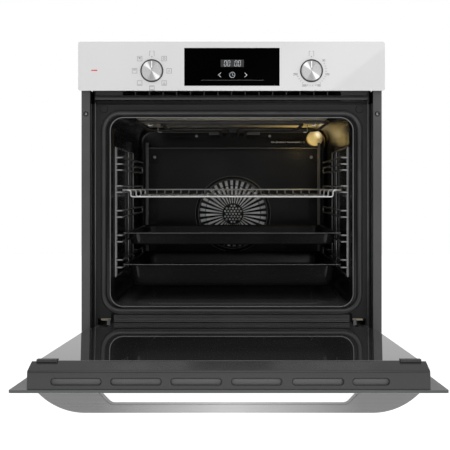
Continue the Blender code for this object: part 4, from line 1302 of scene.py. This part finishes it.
# Housing
def make_housing():
    dress(["base_pan", "side_panel_left", "side_panel_right", "rear_panel", "top_panel", "blower_housing",
           "blower_wheel"], "zinc")
    dress(["terminal_block"], "grey_plastic", 0.0005)
    turns = [pi * k / 8 - pi / 2 for k in range(9)]
    press = bmesh.new()
    for side in (-1, 1):
        x = side * (0.2740 - 0.0002)
        for z in (0.10, 0.20, 0.30, 0.40, 0.50):
            rings = [[(x + side * 0.0012 * cos(t), d, z + 0.004 * sin(t)) for t in turns]
                     for d in (0.11, 0.115, 0.505, 0.51)]
            add_loft(press, rings, loop_closed=False)
    piece("side_panel_beads", press, "zinc", thickness=0.0002)
    screws = bmesh.new()
    rear = extent("rear_panel")[3]
    for x in (-0.262, -0.13, 0.0, 0.13, 0.262):
        for z in (0.012, 0.580):
            screw_head(screws, x, z, rear, 0.0036, 1)
    for x in (-0.262, 0.262):
        for z in (0.15, 0.30, 0.45):
            screw_head(screws, x, z, rear, 0.0036, 1)
    piece("rear_screws", screws, "plain_steel")
    beads = bmesh.new()
    for z in (0.06, 0.13, 0.36, 0.43):
        rings = [[(x, rear - 0.0002 + 0.0014 * cos(t), z + 0.005 * sin(t)) for t in turns]
                 for x in (-0.22, -0.215, 0.215, 0.22)]
        add_loft(beads, rings, loop_closed=False)
    piece("rear_beads", beads, "zinc", thickness=0.0002)
    block = bmesh.new()
    x0, _, _, d1, _, z1 = extent("terminal_block")
    for i in range(3):
        screw_head(block, x0 + 0.016 + i * 0.0165, z1 - 0.013, d1 - 0.0004, 0.0040, 1)
    piece("terminal_screws", block, "plain_steel")


# Stage
def make_stage():
    sizes = oven_sizes()
    camera_data = bpy.data.cameras.new("camera")
    camera_data.lens = sizes.lens
    camera_data.sensor_width = 36.0
    camera_data.shift_x = sizes.shift_x
    camera_data.shift_y = sizes.shift_y
    camera = bpy.data.objects.new("camera", camera_data)
    camera.location = (sizes.camera_x, FRONT_Y - sizes.camera_distance, sizes.camera_height)
    camera.rotation_euler = (radians(90), 0, 0)
    bpy.context.scene.collection.objects.link(camera)
    bpy.context.scene.camera = camera
    bpy.context.scene.world = soft_room()
    bpy.context.scene.view_settings.view_transform = "Standard"
    floor = bmesh.new()
    add_prism(floor, rounded(-12, 12, -12, 12, 4, 8), "z", -0.93, -0.90)
    mesh = bpy.data.meshes.new("floor")
    bmesh.ops.recalc_face_normals(floor, faces=floor.faces)
    floor.to_mesh(mesh)
    floor.free()
    obj = bpy.data.objects.new("floor", mesh)
    bpy.context.scene.collection.objects.link(obj)
    pale = Recipe("pale_floor", (0.96, 0.96, 0.96), 0.8, Emission_Color=(1, 1, 1, 1), Emission_Strength=0.6)
    pale.wear(0.01, 0.05, 2)
    mesh.materials.append(pale.made)
    lights = (("top", (0.0, -1.5, 2.2), (55, 0, 0), 1.4, 6.0, True),
              ("fill", (0.25, FRONT_Y - 2.1, 0.55), (88, 0, 6), 1.3, 24.0, False))
    for name, place, turn, size, power, shiny in lights:
        data = bpy.data.lights.new(name, "AREA")
        data.energy = power
        data.size = size
        light = bpy.data.objects.new(name, data)
        light.location = place
        light.rotation_euler = [radians(angle) for angle in turn]
        light.visible_glossy = shiny
        bpy.context.scene.collection.objects.link(light)
    x0, x1, d0, _, z0, z1 = extent("lamp_lens")
    lamp = bpy.data.lights.new("oven_lamp", "POINT")
    lamp.energy = sizes.lamp_power
    lamp.color = (1.0, 0.72, 0.22)
    lamp.shadow_soft_size = 0.012
    glow_point = bpy.data.objects.new("oven_lamp", lamp)
    glow_point.location = ((x0 + x1) / 2 - 0.045, FRONT_Y + d0 - 0.050, (z0 + z1) / 2 - 0.035)
    glow_point.visible_glossy = False
    bpy.context.scene.collection.objects.link(glow_point)


def soft_room():
    """White backdrop; an even grey room that's dark straight ahead, with one faint slanted sheen."""
    sizes = oven_sizes()
    world = bpy.data.worlds.new("soft_room")
    world.use_nodes = True
    tree = world.node_tree
    room = tree.nodes["Background"]

    def math(operation, *values):
        made = tree.nodes.new("ShaderNodeMath")
        made.operation = operation
        for i, value in enumerate(values):
            if isinstance(value, bpy.types.NodeSocket):
                tree.links.new(value, made.inputs[i])
            else:
                made.inputs[i].default_value = value
        return made.outputs[0]

    def ramp(value, start, stop, low=0.0, high=1.0):
        made = tree.nodes.new("ShaderNodeMapRange")
        made.interpolation_type = "SMOOTHSTEP"
        tree.links.new(value, made.inputs["Value"])
        for name, number in (("From Min", start), ("From Max", stop), ("To Min", low), ("To Max", high)):
            made.inputs[name].default_value = number
        return made.outputs["Result"]

    axes = tree.nodes.new("ShaderNodeSeparateXYZ")
    tree.links.new(tree.nodes.new("ShaderNodeTexCoord").outputs["Generated"], axes.inputs[0])
    ahead = math("MULTIPLY", axes.outputs["Y"], -1.0)
    even = ramp(ahead, 0.72, 0.93, sizes.room_light, sizes.front_light)
    u, v = math("DIVIDE", axes.outputs["X"], ahead), math("DIVIDE", axes.outputs["Z"], ahead)
    slant = radians(38.35)
    across = math("SUBTRACT", math("MULTIPLY", math("SUBTRACT", u, 0.1273), sin(slant)),
                  math("MULTIPLY", math("SUBTRACT", v, 0.1329), cos(slant)))
    sheen = math("MULTIPLY", ramp(across, -0.12, -0.03), ramp(across, 0.0, 0.0015, 1.0, 0.0))
    sheen = math("MULTIPLY", sheen, ramp(ahead, 0.90, 0.94, 0.0, sizes.sheen_light))
    sheen = math("MULTIPLY", sheen, ramp(v, 0.110, 0.125))
    tree.links.new(math("ADD", even, sheen), room.inputs["Strength"])
    backdrop = tree.nodes.new("ShaderNodeBackground")
    mix = tree.nodes.new("ShaderNodeMixShader")
    tree.links.new(tree.nodes.new("ShaderNodeLightPath").outputs["Is Camera Ray"], mix.inputs[0])
    tree.links.new(room.outputs[0], mix.inputs[1])
    tree.links.new(backdrop.outputs[0], mix.inputs[2])
    tree.links.new(mix.outputs[0], tree.nodes["World Output"].inputs["Surface"])
    for shader in (room, backdrop):
        shader.inputs["Color"].default_value = (1, 1, 1, 1)
    return world


# Add-on
class OvenSizes(bpy.types.PropertyGroup):
    camera_distance: bpy.props.FloatProperty(
        name="Camera distance", description="From the camera to the front face", default=1.4745,
        unit="LENGTH")
    camera_height: bpy.props.FloatProperty(
        name="Camera height", description="Above the oven's base", default=0.3131, unit="LENGTH")
    camera_x: bpy.props.FloatProperty(
        name="Camera offset", description="Camera to the right of the middle", default=0.0126, unit="LENGTH")
    lens: bpy.props.FloatProperty(name="Lens", description="Focal length in millimetres", default=60.84)
    shift_x: bpy.props.FloatProperty(name="Shift X", description="Sideways lens shift", default=-0.0289)
    shift_y: bpy.props.FloatProperty(name="Shift Y", description="Upward lens shift", default=-0.0844)
    room_light: bpy.props.FloatProperty(
        name="Room light", description="Strength of the grey room", default=0.55)
    front_light: bpy.props.FloatProperty(
        name="Front light", description="Strength of the room behind the camera", default=0.20)
    sheen_light: bpy.props.FloatProperty(
        name="Sheen", description="Strength of the slanted sheen on the panel", default=1.3)
    lamp_power: bpy.props.FloatProperty(name="Lamp", description="Oven lamp's light in watts", default=0.13)
    baffle_slots: bpy.props.IntProperty(name="Baffle slots", description="Slots around the fan", default=36)
    fan_blades: bpy.props.IntProperty(name="Fan blades", description="Blades of the hot-air fan", default=12)
    spring_coils: bpy.props.IntProperty(name="Spring coils", description="Turns of a door spring", default=34)


class OvenColours(bpy.types.PropertyGroup):
    panel: bpy.props.FloatVectorProperty(
        name="Panel glass", description="Light print behind the front glass", subtype="COLOR",
        default=(0.590, 0.590, 0.590))
    enamel: bpy.props.FloatVectorProperty(
        name="Enamel", description="Ground colour of the cavity enamel", subtype="COLOR",
        default=(0.0060, 0.0060, 0.0062))
    specks: bpy.props.FloatVectorProperty(
        name="Enamel specks", description="Fine pale specks in the enamel", subtype="COLOR",
        default=(0.055, 0.055, 0.055))
    dark_metal: bpy.props.FloatVectorProperty(
        name="Dark metal", description="Coat of the frame and trims", subtype="COLOR",
        default=(0.056, 0.056, 0.057))
    frame_metal: bpy.props.FloatVectorProperty(
        name="Front frame", description="Coat of the flange around the cavity", subtype="COLOR",
        default=(0.009, 0.009, 0.009))
    door_glass: bpy.props.FloatVectorProperty(
        name="Inner door glass", description="What shows through the inner pane", subtype="COLOR",
        default=(0.045, 0.045, 0.045))


class OVEN_OT_stage(bpy.types.Operator):
    """Camera, soft lights and pale floor"""
    bl_idname = "oven.stage"
    bl_label = "Stage"

    def execute(self, context):
        make_stage()
        return {"FINISHED"}


class OVEN_OT_controls(bpy.types.Operator):
    """Panel glass, display and printed signs"""
    bl_idname = "oven.controls"
    bl_label = "Control panel"

    def execute(self, context):
        make_controls()
        make_knobs()
        return {"FINISHED"}


class OVEN_OT_front(bpy.types.Operator):
    """Frame, trims, seal and air grille"""
    bl_idname = "oven.front"
    bl_label = "Front frame"

    def execute(self, context):
        make_front()
        return {"FINISHED"}


class OVEN_OT_cavity(bpy.types.Operator):
    """Enamelled cavity with its fan cover"""
    bl_idname = "oven.cavity"
    bl_label = "Cavity"

    def execute(self, context):
        make_cavity()
        make_baffle()
        return {"FINISHED"}


class OVEN_OT_heaters(bpy.types.Operator):
    """Fan, heaters, probe and lamp"""
    bl_idname = "oven.heaters"
    bl_label = "Heaters"

    def execute(self, context):
        make_fan()
        make_heaters()
        make_lamp()
        return {"FINISHED"}


class OVEN_OT_racks(bpy.types.Operator):
    """Side racks, shelf, tray and pan"""
    bl_idname = "oven.racks"
    bl_label = "Racks and trays"

    def execute(self, context):
        make_racks()
        make_shelf()
        make_trays()
        return {"FINISHED"}


class OVEN_OT_door(bpy.types.Operator):
    """Panes, rails, handle and hinges"""
    bl_idname = "oven.door"
    bl_label = "Door"

    def execute(self, context):
        make_door_glass()
        make_door_frame()
        make_handle()
        make_hinges()
        return {"FINISHED"}


class OVEN_OT_housing(bpy.types.Operator):
    """Outer sheet metal and its screws"""
    bl_idname = "oven.housing"
    bl_label = "Housing"

    def execute(self, context):
        make_housing()
        return {"FINISHED"}


OPERATORS = (OVEN_OT_stage, OVEN_OT_controls, OVEN_OT_front, OVEN_OT_cavity, OVEN_OT_heaters,
             OVEN_OT_racks, OVEN_OT_door, OVEN_OT_housing)


class OVEN_PT_dresser(bpy.types.Panel):
    """Lists the sizes, the colours and one button for each group of pieces"""
    bl_idname = "OVEN_PT_dresser"
    bl_label = "Wall Oven"
    bl_space_type = "VIEW_3D"
    bl_region_type = "UI"
    bl_category = "Wall Oven"

    def draw(self, context):
        for group in (context.scene.oven_sizes, context.scene.oven_colours):
            for name in group.__annotations__:
                self.layout.prop(group, name)
        for made in OPERATORS:
            self.layout.operator(made.bl_idname)


CLASSES = (OvenSizes, OvenColours, *OPERATORS, OVEN_PT_dresser)


def register():
    for made in CLASSES:
        bpy.utils.register_class(made)
    bpy.types.Scene.oven_sizes = bpy.props.PointerProperty(type=OvenSizes)
    bpy.types.Scene.oven_colours = bpy.props.PointerProperty(type=OvenColours)


def unregister():
    del bpy.types.Scene.oven_colours
    del bpy.types.Scene.oven_sizes
    for made in reversed(CLASSES):
        bpy.utils.unregister_class(made)


def main():
    register()
    for made in OPERATORS:
        group, name = made.bl_idname.split(".")
        getattr(getattr(bpy.ops, group), name)()


if __name__ == "__main__":
    main()
